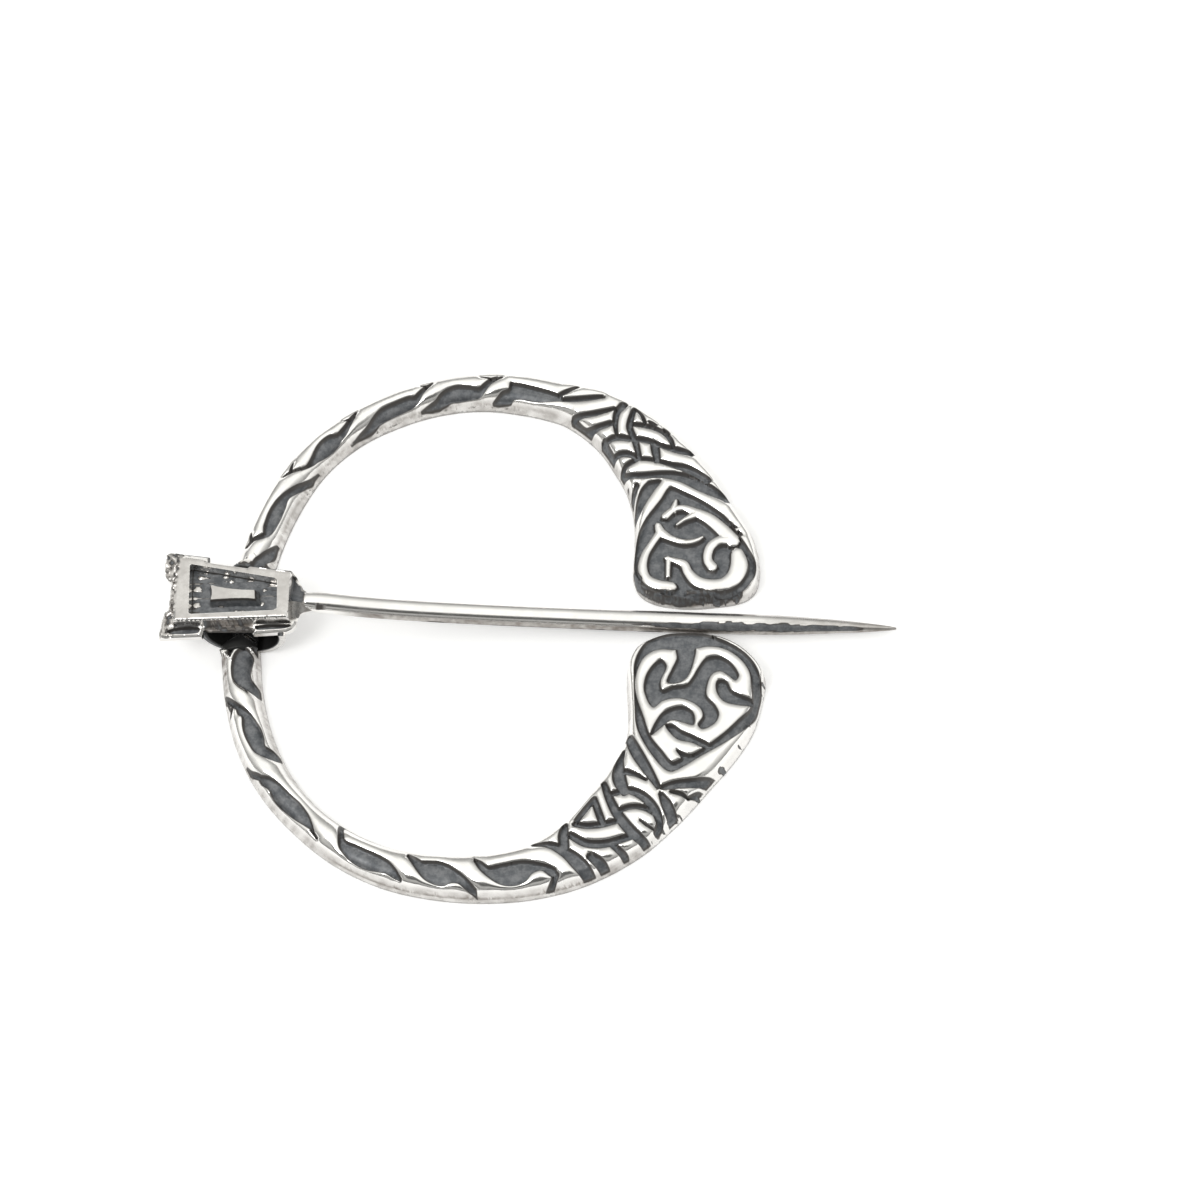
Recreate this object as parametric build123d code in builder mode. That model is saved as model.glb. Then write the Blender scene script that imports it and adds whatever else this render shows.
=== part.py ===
from build123d import *
from math import cos, hypot, radians, sin
import os

os.makedirs("parts", exist_ok=True)

# All lengths are in millimetres. The brooch is drawn about the ring centre, with the
# pin along +X through the gap, and is moved to its final place at the end.

# Driving sizes of the hoop
ring_radius = 20.0
crest_height = 1.88
relief_depth = 0.45
neck_width = 1.8
neck_height = 1.3
neck_radius = 18.0
neck_rise = 0.65
neck_half_turn = 9.0

# Driving sizes of the pin
shank_radius = 0.725
shank_reach = 44.8
tip_radius = 0.12

# Clearances
lower_gap_clear = 0.145
upper_gap_clear = 0.575
loop_below_clear = 0.15
loop_above_clear = 1.05
loop_side_clear = 1.55
loop_front_clear = 0.12
loop_back_clear = 0.55

# One chart unit is a twentieth of the ring radius; every table below is in chart units
unit = ring_radius / 20

# The gap faces of the two terminals, and how far each has moved from its charted place
upper_face = shank_radius + upper_gap_clear
lower_face = shank_radius + lower_gap_clear
upper_lift = upper_face - 1.3 * unit
lower_drop = lower_face - 0.87 * unit

# Section of the hoop: share of the crest height, inset from the outline
SECTION = [
    (0.00, 0.00),
    (0.29, 0.15),
    (0.61, 0.30),
    (0.85, 0.58),
    (1.00, 1.05),
]

# Plain band: turn in degrees, inner radius, outer radius
BAND = [
    (80, 16.0, 19.1),
    (90, 16.45, 19.42),
    (100, 16.98, 19.74),
    (110, 17.35, 19.97),
    (120, 17.62, 20.2),
    (130, 17.85, 20.37),
    (140, 17.8, 20.43),
    (150, 17.45, 20.18),
    (160, 17.15, 19.9),
    (170, 17.0, 19.7),
    (190, 17.2, 19.95),
    (200, 17.45, 20.17),
    (210, 17.8, 20.47),
    (220, 18.12, 20.66),
    (230, 18.28, 20.7),
    (240, 18.2, 20.78),
    (250, 17.9, 20.72),
    (260, 17.37, 20.5),
    (270, 16.93, 20.32),
    (280, 16.38, 20.2),
]

# Outer edge of each terminal from the gap to the band: turn, radius
UPPER_OUTER = [
    (14.5, 18.0),
    (21, 18.2),
    (26, 18.05),
    (32, 17.95),
    (38, 18.05),
    (43, 18.15),
    (48, 18.3),
    (56, 18.55),
    (64, 18.8),
    (72, 19.03),
]
LOWER_OUTER = [
    (344, 18.65),
    (336, 18.95),
    (329, 18.9),
    (321, 18.8),
    (311, 19.1),
    (301, 19.6),
    (290, 20.0),
]

# Inner edge of each terminal from the band to the gap: x, y
UPPER_INNER = [
    (4.0, 15.05),
    (5.0, 14.35),
    (6.0, 13.45),
    (7.0, 12.05),
    (8.0, 10.35),
    (8.45, 9.05),
    (8.7, 7.85),
    (8.8, 6.35),
]
LOWER_INNER = [
    (4.2, -15.3),
    (5.0, -14.6),
    (6.3, -12.9),
    (7.5, -11.4),
    (8.4, -9.9),
    (8.95, -8.5),
    (9.0, -7.0),
    (8.85, -5.2),
]

# Gap end of each terminal from the inner side to the outer side: x, y
UPPER_END = [
    (8.8, 4.7),
    (8.85, 3.45),
    (9.35, 2.35),
    (10.3, 1.7),
    (11.6, 1.38),
    (13.0, 1.35),
    (14.4, 1.5),
    (15.8, 1.75),
    (16.7, 2.15),
    (17.25, 2.9),
]
LOWER_END = [
    (8.8, -3.5),
    (9.2, -2.3),
    (10.0, -1.55),
    (11.2, -1.0),
    (12.5, -0.87),
    (13.9, -0.92),
    (15.1, -1.2),
    (16.3, -1.8),
    (17.4, -2.8),
    (18.0, -3.9),
]

# Hollows of the twisted band: turn in degrees, inner radius, outer radius
HOLLOWS = [
    [(79.3, 17.0, 17.2), (81, 16.9, 17.7), (83, 16.8, 17.9), (86, 16.75, 18.05), (89, 16.8, 18.15),
     (91.5, 16.5, 18.35), (92.4, 16.45, 18.35), (92.9, 16.4, 17.6), (95, 16.35, 17.2),
     (96.7, 16.4, 16.5)],
    [(98.9, 17.6, 17.8), (99.7, 17.2, 18.1), (101, 17.2, 18.25), (103, 17.2, 18.4), (105, 17.15, 18.45),
     (107, 17.1, 18.35), (108.5, 17.0, 18.1), (110, 16.85, 17.75), (112, 16.85, 17.4),
     (114, 17.1, 17.15)],
    [(113.5, 18.3, 18.55), (115, 17.9, 18.72), (117, 17.7, 18.78), (119, 17.65, 18.82),
     (122, 17.6, 18.85),
     (123.5, 17.55, 18.6), (126, 17.35, 18.2), (128, 17.2, 17.9), (130, 17.35, 17.7),
     (132.5, 17.57, 17.62)],
    [(130.5, 18.7, 18.9), (132, 18.4, 18.92), (133, 18.25, 18.92), (134, 18.17, 19.15),
     (136, 18.07, 19.28),
     (138, 18.07, 19.2), (139.5, 18.13, 19.0), (141.5, 18.3, 18.8), (143.2, 18.5, 18.72)],
    [(143, 17.57, 17.63), (144.6, 17.5, 17.75), (146, 17.25, 17.95), (147.5, 17.45, 18.25),
     (149, 17.65, 18.5),
     (150.2, 18.0, 18.67), (151.5, 18.15, 18.78), (153, 18.05, 18.85), (155, 17.8, 18.8),
     (159, 17.7, 18.6),
     (161, 17.7, 18.45), (162, 17.95, 18.3)],
    [(163.6, 16.95, 17.05), (165, 16.87, 17.5), (166.5, 16.85, 17.9), (168, 17.1, 18.2),
     (170.5, 17.45, 18.2)],
    [(189.4, 17.95, 18.35), (190.5, 17.7, 18.7), (192, 17.5, 18.9), (193.7, 17.42, 19.02),
     (196, 17.75, 19.15),
     (197.5, 17.8, 18.95), (199, 17.55, 18.6), (200.5, 17.45, 18.2), (202, 17.45, 17.8),
     (203, 17.45, 17.5)],
    [(202, 19.1, 19.35), (204, 18.7, 19.4), (205, 18.55, 19.2), (207, 18.4, 19.4), (209, 18.32, 19.5),
     (211, 18.4, 19.5), (213, 18.58, 19.45), (214.3, 18.35, 19.25), (216, 18.2, 18.85),
     (219, 18.05, 18.1)],
    [(218, 19.9, 20.15), (219.5, 19.5, 20.2), (221.5, 19.27, 20.05), (223, 19.2, 20.2),
     (225, 19.15, 20.25),
     (227.5, 19.1, 20.2), (229.5, 19.17, 20.13), (231.5, 19.35, 20.03), (233, 19.6, 19.97),
     (234.2, 19.87, 19.92)],
    [(238.3, 18.75, 19.05), (239.3, 19.0, 19.5), (240.3, 19.22, 19.87), (241.5, 19.23, 20.05),
     (243, 19.15, 20.22),
     (245, 19.12, 20.3), (247, 19.1, 20.27), (249, 19.15, 20.15), (250.7, 19.27, 20.05),
     (252.5, 19.6, 20.15),
     (254, 20.0, 20.2)],
    [(253.3, 18.28, 18.5), (255, 18.35, 18.9), (256.7, 18.5, 19.35), (258.3, 18.4, 19.7),
     (260.3, 18.3, 19.86),
     (262, 18.4, 19.85), (263.7, 18.63, 19.6), (265, 18.85, 19.6), (266.5, 19.2, 19.9),
     (268.5, 19.8, 20.2)],
    [(267.4, 17.72, 18.0), (269, 17.95, 18.6), (270.7, 18.3, 19.05), (272.3, 18.2, 19.4),
     (274, 18.1, 19.58),
     (276, 18.0, 19.6), (278, 18.0, 19.4), (279.5, 18.1, 18.95), (281.3, 18.3, 18.85),
     (283, 18.55, 19.35),
     (284.3, 18.9, 19.4)],
]

# Narrow tails that run from a hollow over the edge: turn in degrees, radius, width
TAILS = [
    [(71, 18.15, 0.3), (74, 17.7, 0.4), (77, 17.35, 0.4), (79.6, 17.15, 0.3)],
    [(77.5, 18.4, 0.3), (79.5, 17.8, 0.35), (80.8, 17.45, 0.3)],
    [(94.5, 18.75, 0.2), (96, 18.5, 0.25), (97.5, 18.2, 0.25), (99.5, 17.7, 0.3)],
    [(109.7, 19.25, 0.2), (111.5, 18.9, 0.3), (113.9, 18.45, 0.3)],
    [(127, 19.55, 0.2), (129, 19.15, 0.3), (131, 18.8, 0.25)],
    [(142.6, 18.6, 0.25), (144.5, 18.9, 0.25), (145.5, 19.2, 0.25), (147.5, 19.5, 0.15)],
    [(161.3, 18.1, 0.4), (162.5, 18.4, 0.35), (163.5, 18.8, 0.3), (165.5, 19.15, 0.2)],
    [(200, 19.75, 0.2), (201.5, 19.5, 0.3), (202.6, 19.25, 0.3)],
    [(236.8, 18.2, 0.3), (238.4, 18.85, 0.35), (239.5, 19.25, 0.4)],
    [(281, 20.35, 0.2), (282.8, 19.85, 0.35), (284.1, 19.3, 0.4)],
]

# Grooves of the two interlaced knots: x, y, width
UPPER_KNOT = [
    [(3.9, 15.5, 0.35), (5.3, 15.75, 0.35), (6.8, 16.2, 0.2)],
    [(7.4, 16.5, 0.5), (7.0, 15.9, 0.4), (6.9, 15.0, 0.3), (7.05, 14.0, 0.15)],
    [(3.95, 15.3, 0.3), (4.9, 14.5, 0.45), (6.6, 15.0, 0.35)],
    [(8.15, 16.1, 0.3), (7.95, 15.1, 0.37), (7.95, 14.6, 0.37), (8.4, 13.5, 0.37), (8.7, 12.4, 0.3)],
    [(8.2, 16.3, 0.2), (8.7, 15.75, 0.2), (9.0, 15.1, 0.2)],
    [(8.1, 14.95, 0.25), (9.2, 14.8, 0.3), (10.2, 14.4, 0.3), (10.8, 13.85, 0.3), (11.1, 13.2, 0.2)],
    [(6.3, 13.5, 0.3), (7.0, 13.85, 0.4), (8.1, 13.77, 0.35), (9.2, 13.65, 0.35), (10.4, 13.2, 0.3),
     (11.4, 12.92, 0.4), (12.3, 12.75, 0.45)],
    [(6.2, 13.6, 0.4), (6.3, 13.1, 0.5), (6.9, 12.3, 0.3)],
    [(6.6, 12.1, 0.3), (7.3, 12.5, 0.4), (8.0, 12.53, 0.4), (8.6, 12.2, 0.3)],
    [(9.7, 13.5, 0.4), (9.82, 13.0, 0.5), (10.0, 12.1, 0.4)],
    [(8.7, 12.2, 0.25), (9.8, 12.1, 0.25), (11.0, 11.75, 0.3), (12.2, 11.4, 0.5), (13.6, 10.6, 0.45)],
    [(8.5, 12.1, 0.3), (7.75, 11.5, 0.3), (7.6, 11.0, 0.35), (8.6, 10.85, 0.35), (10.5, 10.95, 0.45),
     (11.8, 10.75, 0.6), (13.2, 10.1, 0.7), (14.9, 9.25, 0.55)],
    [(8.65, 10.1, 0.3), (8.45, 9.4, 0.3), (8.35, 8.7, 0.2)],
]
groove_share = 1.2
LOWER_KNOT = [
    [(9.0, -8.9, 0.45), (9.5, -9.9, 0.65), (10.3, -11.15, 0.55), (11.1, -12.4, 0.3)],
    [(11.4, -12.45, 0.3), (12.3, -12.22, 0.5), (13.7, -12.0, 0.5), (15.0, -11.55, 0.3)],
    [(8.7, -9.9, 0.2), (8.45, -10.8, 0.5), (8.5, -11.9, 0.75), (8.9, -12.8, 0.5)],
    [(8.9, -11.4, 0.35), (9.6, -11.6, 0.25), (10.3, -11.95, 0.15)],
    [(8.1, -13.0, 0.3), (9.1, -12.72, 0.4), (10.1, -13.1, 0.5), (10.9, -13.95, 0.5), (11.3, -14.9, 0.4),
     (11.1, -15.5, 0.3)],
    [(8.5, -14.2, 0.3), (9.4, -13.87, 0.3), (10.3, -13.95, 0.3), (11.0, -14.4, 0.2)],
    [(7.5, -12.3, 0.35), (7.9, -13.3, 0.45), (8.5, -14.4, 0.55), (9.6, -15.7, 0.6), (10.8, -16.5, 0.4)],
    [(6.9, -13.4, 0.35), (6.3, -14.2, 0.35), (5.85, -14.9, 0.35)],
    [(6.9, -13.4, 0.35), (7.15, -14.1, 0.4), (7.5, -14.95, 0.4)],
    [(5.7, -15.2, 0.3), (6.6, -15.3, 0.35), (7.6, -15.15, 0.35), (8.6, -14.85, 0.3)],
    [(5.5, -16.0, 0.4), (6.5, -16.5, 0.45), (7.8, -16.5, 0.45), (9.4, -15.95, 0.4)],
    [(8.3, -16.6, 0.35), (9.1, -17.2, 0.4)],
    [(6.9, -17.4, 0.5), (7.6, -17.9, 0.6), (8.15, -18.5, 0.4)],
    [(3.0, -16.65, 0.2), (4.2, -16.72, 0.4), (5.3, -17.25, 0.6), (6.2, -18.0, 0.8), (7.0, -18.8, 0.6)],
    [(5.05, -15.3, 0.4), (5.0, -16.0, 0.55), (5.1, -16.8, 0.55)],
    [(11.3, -12.9, 0.25), (11.8, -13.8, 0.6), (12.35, -15.0, 0.6)],
]

# Upper terminal: edge of the sunken field, and the raised ribbons in it with their widths
UPPER_FIELD = [
    (11.1, 9.98), (12.0, 9.6), (13.0, 9.1), (14.0, 8.45), (15.0, 7.65), (15.8, 6.5), (16.5, 5.5),
    (17.05, 4.6),
    (17.15, 4.0), (17.0, 3.1), (16.4, 2.25), (15.4, 1.75), (13.5, 1.62), (12.0, 1.6), (10.6, 1.8),
    (9.5, 2.5),
    (9.0, 3.5), (8.97, 4.8), (9.05, 6.2), (9.5, 7.4), (10.4, 9.0), (10.85, 9.85),
]
UPPER_RIBBONS = [
    [(10.75, 7.7, 0.4), (11.3, 8.22, 0.35), (12.0, 8.37, 0.35), (12.8, 8.05, 0.5), (13.7, 7.6, 0.65),
     (14.6, 6.85, 0.75), (15.5, 5.9, 0.8)],
    [(11.3, 8.2, 0.4), (11.45, 8.95, 0.12)],
    [(11.6, 7.05, 0.12), (12.1, 7.45, 0.2), (12.8, 7.85, 0.4)],
    [(15.3, 5.95, 0.6), (14.6, 5.9, 0.5), (14.05, 5.5, 0.5), (13.82, 4.9, 0.5), (13.85, 4.3, 0.5),
     (14.15, 3.85, 0.55)],
    [(10.25, 7.0, 0.3), (10.5, 6.45, 0.5), (11.2, 6.0, 0.35), (12.1, 5.72, 0.3), (12.9, 5.83, 0.25),
     (13.4, 6.12, 0.1)],
    [(10.4, 6.4, 0.4), (9.95, 5.6, 0.35), (9.5, 4.7, 0.4), (9.35, 3.7, 0.5), (9.65, 2.85, 0.55),
     (10.4, 2.4, 0.65),
     (11.4, 2.25, 0.6)],
    [(11.1, 4.45, 0.25), (11.12, 3.1, 0.2)],
    [(10.95, 4.45, 0.2), (11.6, 4.27, 0.3), (12.2, 4.0, 0.45), (12.5, 3.4, 0.5), (13.1, 2.75, 0.65),
     (14.0, 2.47, 0.7),
     (15.0, 2.55, 0.8), (15.7, 3.1, 0.95), (16.0, 4.0, 1.0), (15.85, 4.9, 0.7)],
    [(12.5, 1.85, 0.2), (14.2, 1.88, 0.25)],
]

# Lower terminal: outer edge of the channel, edge of the raised motif, hollows inside the motif
LOWER_CHANNEL = [
    (10.2, -1.6), (11.2, -1.27), (12.4, -1.12), (13.6, -1.15), (14.7, -1.5), (15.6, -1.9),
    (16.5, -2.5), (17.2, -3.3),
    (17.65, -4.3), (17.75, -5.3), (17.6, -6.3), (17.3, -7.2), (16.6, -8.15), (15.4, -9.15),
    (14.0, -10.05),
    (12.9, -10.8), (12.0, -11.3), (11.5, -11.15), (10.8, -10.4), (9.9, -9.15), (9.3, -8.0),
    (9.1, -6.5), (8.97, -5.0),
    (8.97, -3.5), (9.4, -2.3),
]
LOWER_MOTIF = [
    (10.0, -2.8), (10.8, -2.45), (11.9, -2.45), (13.1, -2.35), (14.1, -2.13), (15.2, -2.3),
    (16.2, -2.95), (16.9, -3.9),
    (17.08, -5.0), (17.1, -6.45), (16.2, -7.55), (15.3, -8.5), (14.3, -9.35), (13.4, -9.97),
    (12.5, -10.4),
    (11.95, -10.6), (11.3, -9.9), (10.4, -8.75), (9.9, -7.4), (9.4, -6.0), (9.22, -4.8), (9.5, -3.5),
]
LOWER_HOLLOWS = [
    [(11.95, -2.3), (12.0, -3.1), (11.7, -3.9), (11.4, -4.85), (12.2, -4.85), (12.75, -4.4),
     (13.1, -3.4), (13.15, -2.2)],
    [(10.9, -3.2), (10.3, -3.75), (9.92, -4.6), (9.9, -5.6), (10.5, -6.7), (11.2, -6.2), (12.2, -6.0),
     (13.1, -6.25),
     (13.75, -6.75), (13.9, -7.3), (13.6, -7.9), (13.9, -8.2), (14.7, -7.75), (14.95, -7.1),
     (14.7, -6.5), (14.1, -5.8),
     (14.1, -5.0), (14.4, -4.2), (14.95, -3.95), (15.5, -4.25), (16.0, -4.6), (16.2, -4.2),
     (15.6, -3.3), (14.8, -2.87),
     (14.0, -3.0), (13.5, -3.7), (13.1, -4.5), (12.7, -5.0), (11.8, -5.15), (11.1, -5.45),
     (10.95, -4.8), (11.3, -3.7)],
    [(10.45, -8.75), (10.7, -7.9), (11.3, -7.0), (12.4, -6.6), (13.2, -7.0), (13.3, -7.9), (12.6, -7.75),
     (11.8, -7.6), (11.2, -8.1)],
    [(14.8, -4.65), (15.4, -4.7), (15.75, -5.35), (16.3, -5.65), (17.2, -6.0), (17.2, -6.4),
     (16.0, -6.37), (15.2, -6.1),
     (14.75, -5.4)],
    [(11.4, -8.0), (11.9, -7.95), (12.5, -8.35), (13.4, -8.75), (14.5, -9.35), (14.2, -9.6),
     (13.2, -9.2), (12.2, -8.95)],
    [(12.2, -9.75), (13.1, -10.05), (13.9, -9.75), (12.6, -10.55), (12.55, -10.3)],
]

# Wedge hollow between the upper knot and the upper terminal's rim: x, y
UPPER_WEDGE = [
    (9.5, 10.4), (9.1, 9.9), (8.85, 9.2), (8.7, 8.3), (8.7, 7.4), (9.0, 7.9), (9.4, 8.8), (9.9, 9.7),
    (10.35, 10.5),
]


def on_ring(turn, radius):
    """Point at a turn in degrees and a radius in chart units."""
    return (radius * unit * cos(radians(turn)), radius * unit * sin(radians(turn)))


def placed(rows, shift=0.0):
    """Chart rows of x, y as points, moved along Y by the shift."""
    return [(row[0] * unit, row[1] * unit + shift) for row in rows]


def hoop_outline():
    """Closed run of outline points, each with the share of the inset that it takes."""
    turns = [(on_ring(*row), 0.7) for row in UPPER_OUTER]
    turns += [(on_ring(turn, outer), 1.0) for turn, inner, outer in BAND]
    turns += [(on_ring(*row), 0.8) for row in reversed(LOWER_OUTER)]
    turns += [(point, 0.35) for point in reversed(placed(LOWER_END, -lower_drop))]
    turns += [(point, 0.7) for point in reversed(placed(LOWER_INNER))]
    turns += [(on_ring(turn, inner), 1.0) for turn, inner, outer in reversed(BAND)]
    turns += [(point, 0.7) for point in placed(UPPER_INNER)]
    turns += [(point, 0.35) for point in placed(UPPER_END, upper_lift)]
    return turns


def inset_points(outline, inset):
    """The outline's points moved inward, each by its own share of the inset."""
    moved = []
    count = len(outline)
    for number, ((x, y), share) in enumerate(outline):
        before = outline[number - 1][0]
        after = outline[(number + 1) % count][0]
        run = (after[0] - before[0], after[1] - before[1])
        length = hypot(*run)
        moved.append((x - run[1] / length * inset * share, y + run[0] / length * inset * share))
    return moved


def ribbon_outline(rows, shift=0.0, width_share=1.0):
    """Closed outline of a ribbon given by its centre line and widths."""
    points = placed(rows, shift)
    left = []
    right = []
    for number, (x, y) in enumerate(points):
        before = points[max(number - 1, 0)]
        after = points[min(number + 1, len(points) - 1)]
        run = (after[0] - before[0], after[1] - before[1])
        length = hypot(*run)
        half = rows[number][2] * width_share * unit / 2
        left.append((x - run[1] / length * half, y + run[0] / length * half))
        right.append((x + run[1] / length * half, y - run[0] / length * half))
    return left + right[::-1]


def prism(outline, bottom, top):
    """Upright prism over a closed outline."""
    with BuildPart() as made:
        with BuildSketch(Plane.XY.offset(bottom)):
            with BuildLine():
                Polyline(*outline, close=True)
            make_face()
        extrude(amount=top - bottom)
    return made.part


def dome_solid(outline):
    """Domed hoop, lofted through inset copies of one outline."""
    with BuildPart() as made:
        for share, inset in SECTION:
            with BuildSketch(Plane.XY.offset(share * crest_height)):
                with BuildLine():
                    Spline(*inset_points(outline, inset * unit), periodic=True)
                make_face()
        loft(ruled=True)
    return made.part


def hollow_outlines():
    """Closed outlines of every hollow and groove outside the two terminals."""
    outlines = []
    for rows in HOLLOWS:
        inner_side = [on_ring(turn, inner) for turn, inner, outer in rows]
        outer_side = [on_ring(turn, outer) for turn, inner, outer in rows]
        outlines.append(inner_side + outer_side[::-1])
    for rows in TAILS:
        line = []
        for turn, radius, width in rows:
            x, y = on_ring(turn, radius)
            line.append((x / unit, y / unit, width))
        outlines.append(ribbon_outline(line))
    for rows in UPPER_KNOT + LOWER_KNOT:
        outlines.append(ribbon_outline(rows, 0.0, groove_share))
    outlines.append(placed(UPPER_WEDGE))
    return outlines


# Relief cutters: upright prisms over the hollows, down to one flat floor
dome = dome_solid(hoop_outline())
cut_bottom = crest_height - relief_depth
cut_top = crest_height + 0.5
cutters = [prism(outline, cut_bottom, cut_top) for outline in hollow_outlines()]

upper_cutter = prism(placed(UPPER_FIELD, upper_lift), cut_bottom, cut_top)
for rows in UPPER_RIBBONS:
    upper_cutter -= prism(ribbon_outline(rows, upper_lift), 0, cut_top + 1)
lower_cutter = prism(placed(LOWER_CHANNEL, -lower_drop), cut_bottom, cut_top)
lower_cutter -= prism(placed(LOWER_MOTIF, -lower_drop), 0, cut_top + 1)
cutters += [upper_cutter, lower_cutter]
cutters += [prism(placed(rows, -lower_drop), cut_bottom, cut_top) for rows in LOWER_HOLLOWS]

# The hoop: relief cut from the dome, and a plain oval neck where the pin hangs
neck_centre = neck_rise + neck_height / 2
neck_gap = neck_radius * sin(radians(neck_half_turn)) * 2
with BuildPart() as hoop:
    add(dome)
    add(cutters, mode=Mode.SUBTRACT)
    with Locations((-neck_radius, 0, crest_height / 2)):
        Box(3 * neck_width, neck_gap, 2 * crest_height, mode=Mode.SUBTRACT)
    with BuildSketch(Plane.XZ):
        with Locations((-neck_radius, neck_centre)):
            Ellipse(neck_width / 2, neck_height / 2)
    revolve(axis=Axis.Z, revolution_arc=neck_half_turn + 1)
    with BuildSketch(Plane.XZ):
        with Locations((-neck_radius, neck_centre)):
            Ellipse(neck_width / 2, neck_height / 2)
    revolve(axis=Axis.Z, revolution_arc=-neck_half_turn - 1)

# Head of the pin: lengths along X from the neck's middle, lengths across, heights
head_top = 4.5
flange_top = 3.6
panel_depth = 0.9
wedge_drop = 0.1
trench_depth = 0.3
strap_centre = 0.3
flare_reach = 4.9
flare_rise = 3.0

# The strap's opening and the head above it follow the neck that hangs in them
strap_wall = neck_rise - loop_below_clear
frame_bottom = neck_rise + neck_height + loop_above_clear
strap_half_width = neck_width / 2 + loop_side_clear + strap_wall
strap_front = neck_gap / 2 - loop_front_clear
strap_back = neck_gap / 2 - loop_back_clear

# Flange under the frame: along, across
FLANGE = [
    (-5.38, -3.2),
    (-2.42, -3.02),
    (-2.32, -2.48),
    (1.1, -2.42),
    (1.12, -2.72),
    (3.4, -2.5),
    (3.75, -2.3),
    (4.0, -1.95),
    (4.02, -1.2),
    (4.02, 1.15),
    (3.7, 1.6),
    (3.3, 2.05),
    (3.0, 2.12),
    (0.5, 2.32),
    (0.45, 1.8),
    (-2.5, 2.15),
    (-2.55, 3.0),
    (-5.3, 3.3),
    (-5.6, 3.1),
    (-5.62, 2.2),
    (-5.5, 1.5),
    (-5.0, 1.05),
    (-4.95, -1.1),
    (-5.32, -1.6),
]

# Frame, the sunken panel in it, and the raised wedge in the panel: along, across
FRAME = [(-4.32, -2.36), (3.6, -1.88), (3.42, 1.53), (-4.6, 2.56)]
PANEL = [(-3.27, -1.78), (2.78, -1.33), (2.58, 1.07), (-3.6, 2.0)]
WEDGE = [
    (-1.88, -0.62), (-0.2, -0.47), (1.18, -0.5), (1.08, 0.17), (-0.8, 0.25), (-2.02, 0.5), (-1.85, 0.0),
]

# Trenches sunk in the flange along the front of the frame: along, across
TRENCHES = [
    [(-4.9, -2.72), (-4.35, -2.45), (-2.75, -2.34), (-2.55, -2.5), (-2.7, -2.78), (-4.4, -2.9)],
    [(1.3, -2.15), (3.5, -1.98), (3.72, -2.08), (3.4, -2.27), (1.6, -2.45), (1.3, -2.4)],
]

# Shank sections: along, height of the centre, share of the shank radius
SHANK = [
    (4.3, 3.05, 1.1),
    (5.6, 2.85, 1.04),
    (8.0, 2.4, 1.0),
    (11.0, 1.98, 1.0),
    (16.0, 1.55, 1.0),
    (21.5, 1.23, 1.0),
    (31.6, 0.78, 1.0),
    (36.5, 0.74, 0.93),
    (41.0, 0.66, 0.62),
    (shank_reach, 0.55, tip_radius / shank_radius),
]


def from_neck(rows):
    """Points given from the neck's middle, about the ring centre."""
    return [(-neck_radius + x, y) for x, y in rows]


with BuildPart() as pin:
    add(prism(from_neck(FRAME), frame_bottom, head_top))
    add(prism(from_neck(FLANGE), frame_bottom, flange_top))
    add(prism(from_neck(PANEL), head_top - panel_depth, head_top + 1), mode=Mode.SUBTRACT)
    add(prism(from_neck(WEDGE), frame_bottom + 0.2, head_top - wedge_drop))
    for rows in TRENCHES:
        add(prism(from_neck(rows), flange_top - trench_depth, flange_top), mode=Mode.SUBTRACT)
    # Strap under the head: a half ring along Y, open for the hoop's neck
    with BuildSketch(Plane.XZ.offset(-strap_back)):
        with Locations((-neck_radius + strap_centre, frame_bottom + 0.1)):
            Ellipse(strap_half_width, frame_bottom + 0.1)
        with Locations((-neck_radius + strap_centre, frame_bottom + 0.1)):
            Ellipse(strap_half_width - strap_wall, frame_bottom + 0.1 - strap_wall, mode=Mode.SUBTRACT)
        with Locations((-neck_radius + strap_centre, frame_bottom + 3.1)):
            Rectangle(12, 6, mode=Mode.SUBTRACT)
    extrude(amount=strap_front + strap_back)
    # Flare from the frame's end down to the shank
    with BuildSketch(Plane.YZ.offset(-neck_radius + 3.4)):
        with Locations((-0.15, 3.5)):
            Rectangle(3.0, 0.8)
    with BuildSketch(Plane.YZ.offset(-neck_radius + 4.15)):
        with Locations((-0.12, 3.35)):
            Rectangle(1.8, 0.9)
    with BuildSketch(Plane.YZ.offset(-neck_radius + flare_reach)):
        with Locations((0, flare_rise)):
            Rectangle(1.15, 1.1)
    loft()
    # Shank
    for number, (along, height, share) in enumerate(SHANK):
        before = SHANK[max(number - 1, 0)]
        after = SHANK[min(number + 1, len(SHANK) - 1)]
        run = (after[0] - before[0], 0, after[1] - before[1])
        with BuildSketch(Plane((-neck_radius + along, 0, height), x_dir=(0, 1, 0), z_dir=run)):
            Circle(share * shank_radius)
    loft(ruled=True)

# Final place: the bottom centre of the whole brooch at the origin
whole = Compound([hoop.part, pin.part]).bounding_box()
shift = Location((-(whole.min.X + whole.max.X) / 2, -(whole.min.Y + whole.max.Y) / 2, -whole.min.Z))
hoop_part = max(hoop.part.solids(), key=lambda piece: piece.volume).moved(shift)
hoop_part.label = "hoop"
pin_part = pin.part.moved(shift)
pin_part.label = "pin"
print("origin moved by", shift.position)

for node in (hoop_part, pin_part):
    print(node.label, node.is_valid, len(node.solids()), round(node.volume, 2), node.bounding_box())
    export_step(node, f"parts/{node.label}.step")
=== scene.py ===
import bpy
import numpy as np
from math import cos, radians, sin
from mathutils import Matrix, Vector, kdtree, noise
from mathutils.geometry import delaunay_2d_cdt


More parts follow.
